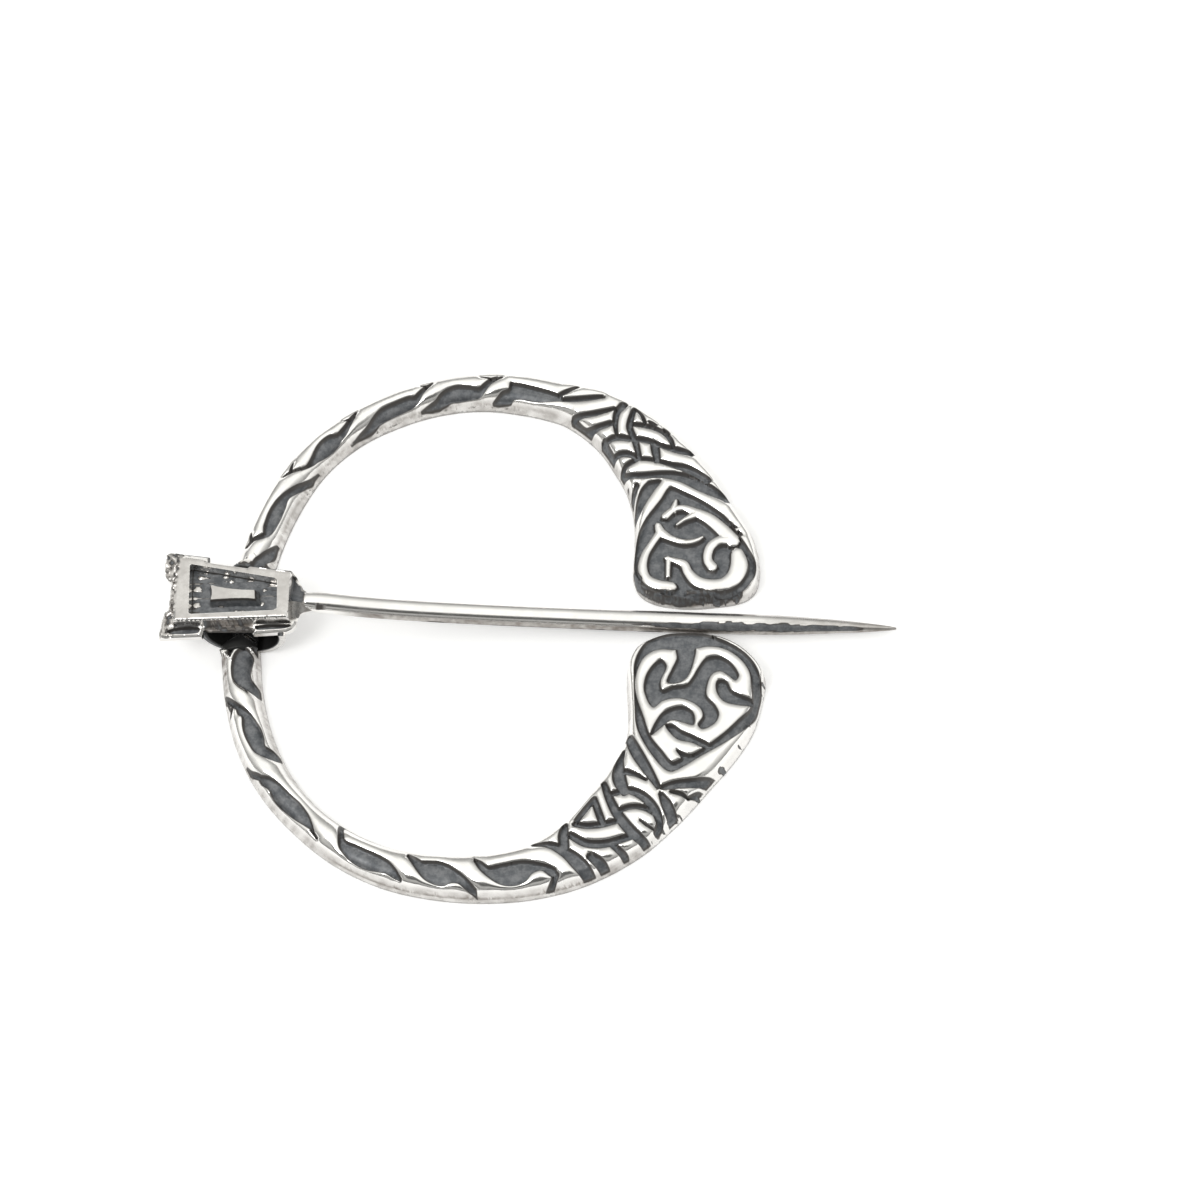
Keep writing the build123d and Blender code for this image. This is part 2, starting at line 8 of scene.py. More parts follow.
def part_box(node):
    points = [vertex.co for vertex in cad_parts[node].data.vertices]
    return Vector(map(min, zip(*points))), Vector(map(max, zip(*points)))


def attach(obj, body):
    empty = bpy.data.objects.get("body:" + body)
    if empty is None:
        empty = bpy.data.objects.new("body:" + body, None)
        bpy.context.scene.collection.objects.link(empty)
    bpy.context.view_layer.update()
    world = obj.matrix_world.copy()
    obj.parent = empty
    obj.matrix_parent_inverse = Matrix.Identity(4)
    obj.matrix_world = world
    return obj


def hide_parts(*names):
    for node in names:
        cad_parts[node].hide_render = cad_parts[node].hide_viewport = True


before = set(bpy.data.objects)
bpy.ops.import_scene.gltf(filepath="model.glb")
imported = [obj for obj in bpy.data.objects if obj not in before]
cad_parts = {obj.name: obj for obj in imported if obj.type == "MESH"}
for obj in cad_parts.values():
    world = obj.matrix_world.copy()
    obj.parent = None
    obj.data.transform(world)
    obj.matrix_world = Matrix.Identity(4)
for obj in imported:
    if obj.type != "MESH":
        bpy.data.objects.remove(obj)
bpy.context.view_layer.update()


# Charts are in chart units, a twentieth of the ring radius, about the ring centre.
# The unit and the centre come from the frame.
HOOP_SPAN = 39.857
TAIL_REACH = 5.62
FRONT_REACH = 3.2
NECK_RADIUS = 18.0
hoop_low, hoop_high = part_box("hoop")
pin_low, pin_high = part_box("pin")
unit = (hoop_high[1] - hoop_low[1]) / HOOP_SPAN
centre = Vector((pin_low[0] + (NECK_RADIUS + TAIL_REACH) * unit, pin_low[1] + FRONT_REACH * unit, 0))

# Plain band: turn in degrees, inner radius, outer radius
BAND = [
    (80, 16, 19.1), (90, 16.45, 19.42), (100, 16.98, 19.74), (110, 17.35, 19.97), (120, 17.62, 20.2),
    (130, 17.85, 20.37), (140, 17.8, 20.43), (150, 17.45, 20.18), (160, 17.15, 19.9), (170, 17, 19.7),
    (190, 17.2, 19.95), (200, 17.45, 20.17), (210, 17.8, 20.47), (220, 18.12, 20.66), (230, 18.28, 20.7),
    (240, 18.2, 20.78), (250, 17.9, 20.72), (260, 17.37, 20.5), (270, 16.93, 20.32), (280, 16.38, 20.2),
]

# Outer edge of each terminal from the gap to the band: turn, radius
UPPER_OUTER = [
    (14.5, 18), (21, 18.2), (26, 18.05), (32, 17.95), (38, 18.05), (43, 18.15), (48, 18.3), (56, 18.55),
    (64, 18.8), (72, 19.03),
]
LOWER_OUTER = [(344, 18.65), (336, 18.95), (329, 18.9), (321, 18.8), (311, 19.1), (301, 19.6), (290, 20)]

# Inner edge of each terminal from the band to the gap: x, y
UPPER_INNER = [
    (4, 15.05), (4.95, 14.3), (5.88, 13.35), (6.83, 11.95), (7.8, 10.25), (8.22, 9), (8.47, 7.85),
    (8.57, 6.35),
]
LOWER_INNER = [
    (4.2, -15.3), (5, -14.6), (6.3, -12.9), (7.4, -11.3), (8.22, -9.8), (8.72, -8.45), (8.77, -7),
    (8.6, -5.2),
]

# Gap end of each terminal from the inner side to the outer side: x, y
UPPER_END = [
    (8.57, 4.7), (8.62, 3.45), (9.12, 2.3), (10.15, 1.66), (11.6, 1.38), (13, 1.35), (14.4, 1.5),
    (15.8, 1.75), (16.7, 2.15), (17.25, 2.9),
]
LOWER_END = [
    (8.57, -3.5), (9, -2.25), (9.9, -1.5), (11.2, -1), (12.5, -0.87), (13.9, -0.92), (15.1, -1.2),
    (16.3, -1.8), (17.4, -2.8), (18, -3.9),
]

# Hollows of the twisted band: turn in degrees, inner radius, outer radius
HOLLOWS = [
    [(79.3, 17, 17.15), (80.5, 17, 17.45), (82.8, 16.9, 17.65), (85.4, 16.83, 17.8), (88, 16.9, 17.97),
     (90, 17, 18.12), (91.6, 17, 18.2), (92.5, 16.85, 18.28), (92.9, 16.85, 17.75), (94.5, 16.88, 17.57),
     (95.8, 16.93, 17.25), (97, 17.02, 17.07)],
    [(95.5, 18.72, 18.85), (96.6, 18.33, 18.75), (97.6, 17.97, 18.55), (98.7, 17.62, 18.28),
     (99.7, 17.42, 18.06), (101.7, 17.42, 18.25), (103.5, 17.46, 18.44), (105, 17.5, 18.51),
     (106.5, 17.55, 18.45), (107.8, 17.52, 18.33), (108.8, 17.5, 18.17), (110, 17.48, 17.93),
     (111.5, 17.53, 17.82), (112.8, 17.6, 17.75), (114, 17.65, 17.7)],
    [(110.3, 19.07, 19.2), (111.9, 18.68, 19.06), (113.2, 18.3, 18.83), (114.3, 18.07, 18.65),
     (115.4, 17.97, 18.76), (117, 17.96, 18.8), (118.8, 17.98, 18.81), (120.5, 18, 18.82),
     (122.4, 18.02, 18.78), (124, 18.02, 18.62), (125.5, 17.95, 18.42), (127.2, 17.93, 18.25),
     (128.9, 17.99, 18.17), (130.4, 18.03, 18.1), (131.9, 18.02, 18.06)],
    [(127, 19.57, 19.68), (128.2, 19.3, 19.52), (129.5, 18.97, 19.33), (130.6, 18.7, 19.17),
     (131.8, 18.53, 19.05), (132.8, 18.45, 18.98), (133.6, 18.38, 19.03), (134.5, 18.3, 19.22),
     (136.2, 18.24, 19.32), (137.8, 18.24, 19.24), (139.3, 18.28, 19.06), (140.6, 18.34, 18.88),
     (141.8, 18.37, 18.76), (143.1, 18.48, 18.7), (144.6, 18.68, 18.88)],
    [(142, 17.93, 17.97), (143.7, 17.87, 17.97), (144.9, 17.78, 18), (146.4, 17.82, 18.13),
     (148.1, 17.87, 18.34), (149.8, 17.99, 18.51), (151.2, 18.1, 18.65), (152.2, 18.09, 18.72),
     (153.4, 17.98, 18.78), (155, 17.88, 18.79), (156.8, 17.81, 18.75), (158.5, 17.79, 18.66),
     (160, 17.8, 18.57), (161, 17.85, 18.43), (162, 18, 18.3)],
    [(162.3, 17.25, 17.33), (163.4, 17.23, 17.46), (164.6, 17.18, 17.64), (165.8, 17.2, 17.85),
     (166.9, 17.3, 18.02), (168, 17.45, 18.22), (170.5, 17.7, 18.4)],
    [(189.4, 18, 18.3), (190.1, 17.78, 18.62), (191.4, 17.56, 18.88), (192.8, 17.62, 19.03),
     (194, 17.75, 19.1), (196, 17.88, 19.12), (197.4, 17.83, 18.93), (198.8, 17.6, 18.56),
     (200.2, 17.56, 18.13), (201.3, 17.66, 17.78)],
    [(202, 19.1, 19.35), (204, 18.7, 19.4), (205, 18.55, 19.2), (207, 18.4, 19.4), (209, 18.32, 19.5),
     (211, 18.4, 19.5), (213, 18.58, 19.45), (214.3, 18.3, 19.25), (215.8, 18.15, 18.93),
     (217.2, 18.2, 18.5)],
    [(218, 19.9, 20.15), (219.5, 19.5, 20.2), (221.5, 19.27, 20.05), (223, 19.2, 20.2), (225, 19.15, 20.25),
     (227.5, 19.1, 20.2), (229.5, 19.17, 20.13), (231.5, 19.35, 20.03), (233, 19.6, 19.97),
     (234.2, 19.87, 19.92)],
    [(238.3, 18.75, 19.05), (239.3, 19, 19.5), (240.3, 19.22, 19.87), (241.5, 19.23, 20.05),
     (243, 19.15, 20.22), (245, 19.12, 20.3), (247, 19.1, 20.27), (249, 19.15, 20.15), (250.7, 19.27, 20.05),
     (252.5, 19.6, 20.15), (254, 20, 20.2)],
    [(253.3, 18.28, 18.5), (255, 18.35, 18.9), (256.7, 18.5, 19.35), (258.3, 18.4, 19.7),
     (260.3, 18.3, 19.86), (262, 18.4, 19.85), (263.7, 18.63, 19.6), (265, 18.85, 19.6), (266.5, 19.2, 19.9),
     (268.5, 19.8, 20.2)],
    [(267.4, 17.72, 18), (269, 17.95, 18.6), (270.7, 18.3, 19.05), (272.3, 18.2, 19.4), (274, 18.1, 19.58),
     (276, 18, 19.6), (278, 18, 19.4), (279.5, 18.1, 18.95), (281.3, 18.3, 18.85), (283, 18.55, 19.35),
     (284.3, 18.9, 19.4)],
]

# Sunk corners beside the arch that ends the lower band: turn, inner radius, outer radius
ARCH_CORNERS = [
    [(189, 18.3, 19.1), (189.4, 18.62, 19.15), (190, 18.88, 19.2), (190.8, 19.08, 19.2)],
    [(189, 16.95, 17.9), (189.5, 16.95, 17.6), (190.3, 16.95, 17.42), (191.3, 16.97, 17.2)],
]

# Narrow tails that run from a hollow over the edge: turn in degrees, radius, width
TAILS = [
    [(71, 18.15, 0.3), (74, 17.7, 0.4), (77, 17.35, 0.4), (79.6, 17.15, 0.3)],
    [(77.5, 18.4, 0.3), (79.5, 17.8, 0.35), (80.8, 17.45, 0.3)],
    [(94.5, 18.75, 0.2), (96, 18.5, 0.25), (97.5, 18.2, 0.25), (99.5, 17.7, 0.3)],
    [(109.7, 19.25, 0.2), (111.5, 18.9, 0.3), (113.9, 18.45, 0.3)],
    [(127, 19.55, 0.2), (129, 19.15, 0.3), (131, 18.8, 0.25)],
    [(144.4, 18.8, 0.2), (145.6, 19.08, 0.2), (146.6, 19.28, 0.25), (147.9, 19.5, 0.12)],
    [(146.2, 19.25, 0.22), (145.2, 19.45, 0.2), (144.2, 19.62, 0.1)],
    [(161.3, 18.1, 0.4), (162.5, 18.4, 0.35), (163.5, 18.8, 0.3), (165.5, 19.15, 0.2)],
    [(200, 19.75, 0.2), (201.5, 19.5, 0.3), (202.6, 19.25, 0.3)],
    [(236.8, 18.2, 0.3), (238.4, 18.85, 0.35), (239.5, 19.25, 0.4)],
    [(281, 20.35, 0.2), (282.8, 19.85, 0.35), (284.1, 19.3, 0.4)],
    [(96.3, 18.6, 0.15), (97.7, 18.78, 0.15), (99, 18.95, 0.1)],
    [(110.3, 19.05, 0.2), (112, 19.3, 0.12)],
    [(128, 19.25, 0.2), (130, 19.5, 0.12)],
    [(164, 18.95, 0.28), (163, 19.15, 0.2), (162.2, 19.25, 0.1)],
    [(201.6, 19.45, 0.2), (203.5, 19.95, 0.12)],
    [(214.2, 20.4, 0.1), (216, 20.33, 0.25), (217.5, 20.12, 0.35), (218.7, 19.95, 0.35)],
    [(198.4, 20, 0.1), (200, 19.75, 0.3), (201.5, 19.45, 0.4), (203, 19.15, 0.4)],
    [(199.6, 20, 0.15), (200.8, 19.85, 0.15), (202.4, 19.8, 0.1)],
    [(233.6, 19.95, 0.2), (235.5, 20.15, 0.15)],
]

# Grooves of the two interlaced knots: x, y, width
UPPER_KNOT = [
    [(3.9, 15.5, 0.35), (5.3, 15.75, 0.35), (6.8, 16.2, 0.2)],
    [(7.4, 16.5, 0.5), (7, 15.9, 0.4), (6.9, 15, 0.3), (7.05, 14, 0.15)],
    [(3.95, 15.3, 0.3), (4.9, 14.5, 0.45), (6.6, 15, 0.35)],
    [(8.15, 16.1, 0.3), (7.95, 15.1, 0.37), (7.95, 14.6, 0.37), (8.4, 13.5, 0.37), (8.7, 12.4, 0.3)],
    [(8.2, 16.3, 0.2), (8.7, 15.75, 0.2), (9, 15.1, 0.2)],
    [(8.1, 14.95, 0.25), (9.2, 14.8, 0.3), (10.2, 14.4, 0.3), (10.8, 13.85, 0.3), (11.1, 13.2, 0.2)],
    [(6.3, 13.5, 0.3), (7, 13.85, 0.4), (8.1, 13.77, 0.35), (9.2, 13.65, 0.35), (10.4, 13.2, 0.3),
     (11.4, 12.92, 0.4), (12.3, 12.75, 0.45)],
    [(6.2, 13.6, 0.4), (6.3, 13.1, 0.5), (6.9, 12.3, 0.3)],
    [(6.6, 12.1, 0.3), (7.3, 12.5, 0.4), (8, 12.53, 0.4), (8.6, 12.2, 0.3)],
    [(9.7, 13.5, 0.4), (9.82, 13, 0.5), (10, 12.1, 0.4)],
    [(8.7, 12.2, 0.25), (9.8, 12.1, 0.25), (11, 11.75, 0.3), (12.2, 11.4, 0.5), (13.6, 10.6, 0.45)],
    [(8.5, 12.1, 0.3), (7.75, 11.5, 0.3), (7.6, 11, 0.35), (8.6, 10.85, 0.35), (10.5, 10.95, 0.45),
     (11.8, 10.75, 0.6), (13.2, 10.1, 0.7), (14.9, 9.25, 0.55)],
    [(8.65, 10.1, 0.3), (8.45, 9.4, 0.3), (8.35, 8.7, 0.2)],
    [(9.3, 15.2, 0.15), (9.6, 15, 0.25), (9.85, 14.95, 0.12)],
    [(10.35, 14.65, 0.12), (10.55, 14.45, 0.22), (10.75, 14.25, 0.12)],
    [(7.95, 10.15, 0.15), (7.93, 9.95, 0.2), (7.9, 9.7, 0.15)],
]
NICKS = [
    [(15.1, 7.4, 0.1), (15.25, 7.25, 0.2), (15.4, 7.15, 0.1)],
    [(15.5, 7.1, 0.08), (15.62, 6.97, 0.15), (15.75, 6.9, 0.08)],
    [(15.85, 6.6, 0.1), (15.95, 6.45, 0.2), (16.1, 6.35, 0.12)],
    [(14.35, -1.35, 0.1), (14.5, -1.5, 0.2), (14.6, -1.65, 0.1)],
]
LOWER_KNOT = [
    [(9, -8.9, 0.45), (9.5, -9.9, 0.65), (10.3, -11.15, 0.55), (11.1, -12.4, 0.3)],
    [(11.4, -12.45, 0.3), (12.3, -12.22, 0.5), (13.7, -12, 0.5), (15, -11.55, 0.3)],
    [(8.7, -9.9, 0.2), (8.45, -10.8, 0.5), (8.5, -11.9, 0.75), (8.9, -12.8, 0.5)],
    [(8.9, -11.4, 0.35), (9.6, -11.6, 0.25), (10.3, -11.95, 0.15)],
    [(8.1, -13, 0.3), (9.1, -12.72, 0.4), (10.1, -13.1, 0.5), (10.9, -13.95, 0.5), (11.3, -14.9, 0.4),
     (11.1, -15.5, 0.3)],
    [(8.5, -14.2, 0.3), (9.4, -13.87, 0.3), (10.3, -13.95, 0.3), (11, -14.4, 0.2)],
    [(7.5, -12.3, 0.35), (7.9, -13.3, 0.45), (8.5, -14.4, 0.55), (9.6, -15.7, 0.6), (10.8, -16.5, 0.4)],
    [(6.9, -13.4, 0.35), (6.3, -14.2, 0.35), (5.85, -14.9, 0.35)],
    [(6.9, -13.4, 0.35), (7.15, -14.1, 0.4), (7.5, -14.95, 0.4)],
    [(5.7, -15.2, 0.3), (6.6, -15.3, 0.35), (7.6, -15.15, 0.35), (8.6, -14.85, 0.3)],
    [(5.5, -16, 0.4), (6.5, -16.5, 0.45), (7.8, -16.5, 0.45), (9.4, -15.95, 0.4)],
    [(8.3, -16.6, 0.35), (9.1, -17.2, 0.4)],
    [(6.9, -17.4, 0.5), (7.6, -17.9, 0.6), (8.15, -18.5, 0.4)],
    [(3, -16.65, 0.2), (4.2, -16.72, 0.4), (5.3, -17.25, 0.6), (6.2, -18, 0.8), (7, -18.8, 0.6)],
    [(5.05, -15.3, 0.4), (5, -16, 0.55), (5.1, -16.8, 0.55)],
    [(11.3, -12.9, 0.25), (11.8, -13.8, 0.6), (12.35, -15, 0.6)],
    [(11.95, -12.75, 0.15), (12.6, -12.85, 0.25), (13.1, -13.1, 0.15)],
    [(13.2, -13, 0.15), (13.8, -12.65, 0.25), (14.35, -12.4, 0.15)],
    [(10, -14.8, 0.1), (10.5, -15.15, 0.15), (11, -15.4, 0.1)],
]
GROOVE_SHARE = 1.2

# Upper terminal: edge of the sunken field, and the raised ribbons in it with their widths
UPPER_FIELD = [
    (11.1, 9.98), (12, 9.6), (13, 9.1), (14, 8.45), (15, 7.65), (15.8, 6.5), (16.5, 5.5), (17.05, 4.6),
    (17.15, 4), (17, 3.1), (16.4, 2.25), (15.4, 1.75), (13.5, 1.62), (12, 1.6), (10.6, 1.8), (9.35, 2.5),
    (8.8, 3.5), (8.76, 4.8), (8.87, 6.2), (9.38, 7.4), (10.4, 9), (10.85, 9.85),
]
UPPER_RIBBONS = [
    [(10.75, 7.7, 0.4), (11.3, 8.22, 0.35), (12, 8.37, 0.35), (12.8, 8.05, 0.5), (13.7, 7.6, 0.65),
     (14.6, 6.85, 0.75), (15.5, 5.9, 0.8)],
    [(11.3, 8.2, 0.4), (11.45, 8.95, 0.12)],
    [(11.6, 7.05, 0.12), (12.1, 7.45, 0.2), (12.8, 7.85, 0.4)],
    [(15.3, 5.95, 0.6), (14.6, 5.9, 0.5), (14.05, 5.5, 0.5), (13.82, 4.9, 0.5), (13.85, 4.3, 0.5),
     (14.15, 3.85, 0.55)],
    [(10.25, 7, 0.3), (10.5, 6.45, 0.5), (11.2, 6, 0.35), (12.1, 5.72, 0.3), (12.9, 5.83, 0.25),
     (13.4, 6.12, 0.1)],
    [(10.4, 6.4, 0.4), (9.95, 5.6, 0.35), (9.5, 4.7, 0.4), (9.35, 3.7, 0.5), (9.65, 2.85, 0.55),
     (10.4, 2.4, 0.65), (11.4, 2.25, 0.6)],
    [(11.1, 4.45, 0.25), (11.12, 3.1, 0.2)],
    [(10.95, 4.45, 0.2), (11.6, 4.27, 0.3), (12.2, 4, 0.45), (12.5, 3.4, 0.5), (13.1, 2.75, 0.65),
     (14, 2.47, 0.7), (15, 2.55, 0.8), (15.7, 3.1, 0.95), (16, 4, 1), (15.85, 4.9, 0.7)],
    [(12.5, 1.85, 0.2), (14.2, 1.88, 0.25)],
]
RIBBON_SHARE = 1.12
RIBBON_EXTRA = 0.1

# Lower terminal: outer edge of the channel, edge of the raised motif, hollows inside the motif
LOWER_CHANNEL = [
    (10.2, -1.6), (11.2, -1.27), (12.4, -1.12), (13.6, -1.15), (14.7, -1.5), (15.6, -1.9), (16.5, -2.5),
    (17.2, -3.3), (17.65, -4.3), (17.75, -5.3), (17.6, -6.3), (17.3, -7.2), (16.6, -8.15), (15.4, -9.15),
    (14, -10.05), (12.9, -10.8), (12, -11.3), (11.5, -11.15), (10.8, -10.4), (9.95, -9.15), (9.45, -8),
    (9.27, -6.5), (9.15, -5), (9.15, -3.5), (9.55, -2.35),
]
LOWER_MOTIF = [
    (10, -2.8), (10.8, -2.45), (11.9, -2.45), (13.1, -2.35), (14.1, -2.13), (15.2, -2.3), (16.2, -2.95),
    (16.9, -3.9), (17.08, -5), (17.1, -6.45), (16.2, -7.55), (15.3, -8.5), (14.3, -9.35), (13.4, -9.97),
    (12.5, -10.4), (11.95, -10.6), (11.3, -9.9), (10.4, -8.75), (9.9, -7.4), (9.4, -6), (9.22, -4.8),
    (9.5, -3.5),
]
LOWER_HOLLOWS = [
    [(11.95, -2.3), (12, -3.1), (11.7, -3.9), (11.4, -4.85), (12.2, -4.85), (12.75, -4.4), (13.1, -3.4),
     (13.15, -2.2)],
    [(10.9, -3.2), (10.3, -3.75), (9.92, -4.6), (9.9, -5.6), (10.5, -6.7), (11.2, -6.2), (12.2, -6),
     (13.1, -6.25), (13.75, -6.75), (13.9, -7.3), (13.6, -7.9), (13.9, -8.2), (14.7, -7.75), (14.95, -7.1),
     (14.7, -6.5), (14.1, -5.8), (14.1, -5), (14.4, -4.2), (14.95, -3.95), (15.5, -4.25), (16, -4.6),
     (16.2, -4.2), (15.6, -3.3), (14.8, -2.87), (14, -3), (13.5, -3.7), (13.1, -4.5), (12.7, -5),
     (11.8, -5.15), (11.1, -5.45), (10.95, -4.8), (11.3, -3.7)],
    [(10.45, -8.75), (10.7, -7.9), (11.3, -7), (12.4, -6.6), (13.2, -7), (13.3, -7.9), (12.6, -7.75),
     (11.8, -7.6), (11.2, -8.1)],
    [(14.8, -4.65), (15.4, -4.7), (15.75, -5.35), (16.3, -5.65), (17.2, -6), (17.2, -6.4), (16, -6.37),
     (15.2, -6.1), (14.75, -5.4)],
    [(11.4, -8), (11.9, -7.95), (12.5, -8.35), (13.4, -8.75), (14.5, -9.35), (14.2, -9.6), (13.2, -9.2),
     (12.2, -8.95)],
    [(12.2, -9.75), (13.1, -10.05), (13.9, -9.75), (12.6, -10.55), (12.55, -10.3)],
]

# Wedge hollow between the upper knot and the upper terminal's rim: x, y
UPPER_WEDGE = [
    (9.5, 10.4), (9.05, 9.9), (8.77, 9.2), (8.6, 8.3), (8.55, 7.3), (9, 7.9), (9.4, 8.8), (9.9, 9.7),
    (10.35, 10.5),
]


# Profile of the hoop: inset from the outline, height
PROFILE = [
    (0, 0), (0.03, 0.25), (0.09, 0.46), (0.15, 0.55), (0.2, 0.75), (0.3, 1.13), (0.42, 1.4), (0.58, 1.6),
    (0.8, 1.76), (1.05, 1.86), (1.6, 1.9),
]
RIM_LOOPS = [0.03, 0.06, 0.09, 0.12, 0.15, 0.18, 0.22, 0.26, 0.3, 0.36, 0.42, 0.5, 0.58, 0.68]
RELIEF_DEPTH = 0.42
WALL = 0.09
ROUND_DROP = 0.13
ROUND_REACH = 0.42
CONTOUR_STEP = 0.06
RIM_STEP = 0.16
FIELD_STEP = 0.18
NECK_HALF_TURN = 9.0
NECK_HEIGHT = 1.3
NECK_RISE = 1.3
NECK_HALF_WIDTH = 0.9
POINT_GAP = 0.048
TILT_REACH = 0.015
FAR = -9.0


def on_ring(turn, radius):
    """Point at a turn in degrees and a radius."""
    return (radius * cos(radians(turn)), radius * sin(radians(turn)))


def smooth(points, step, closed=False):
    """Rows on a smooth curve through the given rows, about a step apart."""
    rows = np.array(points, float)
    if closed:
        rows = np.vstack([rows[-1], rows, rows[0], rows[1]])
    else:
        rows = np.vstack([2 * rows[0] - rows[1], rows, 2 * rows[-1] - rows[-2]])
    spans = np.maximum(np.linalg.norm(np.diff(rows[:, :2], axis=0), axis=1), 1e-6)
    made = []
    for number in range(1, len(rows) - 2):
        start, end = rows[number], rows[number + 1]
        span = spans[number]
        leave = (end - rows[number - 1]) / (spans[number - 1] + span) * span
        arrive = (rows[number + 2] - start) / (span + spans[number + 1]) * span
        for t in np.linspace(0, 1, max(int(span / step) + 1, 2), endpoint=False):
            made.append((2 * t**3 - 3 * t**2 + 1) * start + (t**3 - 2 * t**2 + t) * leave
                        + (3 * t**2 - 2 * t**3) * end + (t**3 - t**2) * arrive)
    if not closed:
        made.append(rows[-2])
    return np.array(made)


def straight(points, step, closed=False):
    """Rows along straight runs between the given rows, about a step apart."""
    rows = np.array(list(points) + ([points[0]] if closed else []), float)
    made = []
    for start, end in zip(rows[:-1], rows[1:]):
        count = max(int(np.linalg.norm((end - start)[:2]) / step) + 1, 1)
        made += [start + (end - start) * t for t in np.linspace(0, 1, count, endpoint=False)]
    if not closed:
        made.append(rows[-1])
    return np.array(made)


def near(points, outline, margin=0.5):
    """Which points lie within a margin of an outline's box."""
    low = outline[:, :2].min(axis=0) - margin
    high = outline[:, :2].max(axis=0) + margin
    return np.nonzero(((points >= low) & (points <= high)).all(axis=1))[0]


def from_run(points, start, end):
    """How far along a straight run each point is, from 0 to 1, and its distance from the run."""
    run = end - start
    t = np.clip(((points - start) @ run) / max(run @ run, 1e-12), 0, 1)
    return t, np.linalg.norm(points - start - t[:, None] * run, axis=1)


def inside(points, outline):
    """Distance of each point from a closed outline, positive inside it."""
    result = np.full(len(points), FAR)
    chosen = near(points, outline)
    p = points[chosen]
    a = outline[:, :2]
    b = np.roll(a, -1, axis=0)
    best = np.full(len(p), 1e9)
    odd = np.zeros(len(p), bool)
    for start, end in zip(a, b):
        run = end - start
        best = np.minimum(best, from_run(p, start, end)[1])
        crosses = (start[1] > p[:, 1]) != (end[1] > p[:, 1])
        if run[1] != 0:
            odd ^= crosses & (p[:, 0] < start[0] + run[0] * (p[:, 1] - start[1]) / run[1])
    result[chosen] = np.where(odd, best, -best)
    return result


def in_ribbon(points, line):
    """Distance of each point from a ribbon's edge, positive inside it. Rows are x, y, width."""
    result = np.full(len(points), FAR)
    chosen = near(points, line, 1.0)
    p = points[chosen]
    best = np.full(len(p), FAR)
    for start, end in zip(line[:-1], line[1:]):
        t, away = from_run(p, start[:2], end[:2])
        best = np.maximum(best, (start[2] + (end[2] - start[2]) * t) / 2 - away)
    result[chosen] = best
    return result


def ribbon_sides(line):
    """Points along both sides of a ribbon, and round its ends."""
    run = np.gradient(line[:, :2], axis=0)
    run /= np.maximum(np.linalg.norm(run, axis=1), 1e-9)[:, None]
    across = np.stack([-run[:, 1], run[:, 0]], axis=1) * line[:, 2:3] / 2
    ends = [line[0, :2] - run[0] * line[0, 2] / 2, line[-1, :2] + run[-1] * line[-1, 2] / 2]
    return np.vstack([line[:, :2] + across, line[:, :2] - across, ends])


def bounded(rows, step):
    """Closed outline of a hollow given by rows of turn, inner radius and outer radius."""
    inner_side = smooth([on_ring(turn, inner) for turn, inner, outer in rows], step)
    outer_side = smooth([on_ring(turn, outer) for turn, inner, outer in rows], step)
    return np.vstack([inner_side, outer_side[::-1]])


class Relief:
    """All hollows of the hoop as smooth outlines and ribbons."""

    def __init__(self):
        step = CONTOUR_STEP
        self.areas = [bounded(rows, step) for rows in HOLLOWS + ARCH_CORNERS]
        self.areas += [smooth(UPPER_WEDGE, step, True)]
        self.areas += [smooth(rows, step, True) for rows in LOWER_HOLLOWS]
        tails = [[(*on_ring(turn, radius), width) for turn, radius, width in rows] for rows in TAILS]
        knots = [[(x, y, width * GROOVE_SHARE) for x, y, width in rows]
                 for rows in UPPER_KNOT + LOWER_KNOT + NICKS]
        self.grooves = [smooth(rows, step) for rows in tails + knots]
        self.field = smooth(UPPER_FIELD, step, True)
        ribbons = [[(x, y, width * RIBBON_SHARE + RIBBON_EXTRA) for x, y, width in rows]
                   for rows in UPPER_RIBBONS]
        self.ribbons = [smooth(rows, step) for rows in ribbons]
        self.channel = smooth(LOWER_CHANNEL, step, True)
        self.motif = smooth(LOWER_MOTIF, step, True)

    def depth_in(self, points):
        """Distance into the hollows: positive in a hollow, negative on a raised part."""
        hollows = [inside(points, area) for area in self.areas]
        hollows += [in_ribbon(points, groove) for groove in self.grooves]
        raised = np.max([in_ribbon(points, ribbon) for ribbon in self.ribbons], axis=0)
        hollows.append(np.minimum(inside(points, self.field), -raised))
        hollows.append(np.minimum(inside(points, self.channel), -inside(points, self.motif)))
        return np.max(hollows, axis=0)

    def edges(self):
        """Points along every edge between a hollow and a raised part."""
        runs = [area[:, :2] for area in self.areas + [self.field, self.channel, self.motif]]
        runs += [ribbon_sides(line) for line in self.grooves + self.ribbons]
        points = np.vstack(runs)
        return points[np.abs(self.depth_in(points)) < 0.02]


def slope(function, points, reach=0.02):
    """Direction in which a function of the points grows, as unit rows."""
    across = np.array([[reach, 0.0]])
    along = np.array([[0.0, reach]])
    grown = np.stack([function(points + across) - function(points - across),
                      function(points + along) - function(points - along)], axis=1)
    return grown / np.maximum(np.linalg.norm(grown, axis=1), 1e-9)[:, None]


def ease(value):
    """Smooth step from 0 to 1."""
    value = np.clip(value, 0, 1)
    return value * value * (3 - 2 * value)


def between(value, start, end, rise, fall):
    """Share from 0 to 1 that grows from the start over a rise, and is gone at the end after a fall."""
    return ease((value - start) / rise) * ease((end - value) / fall)


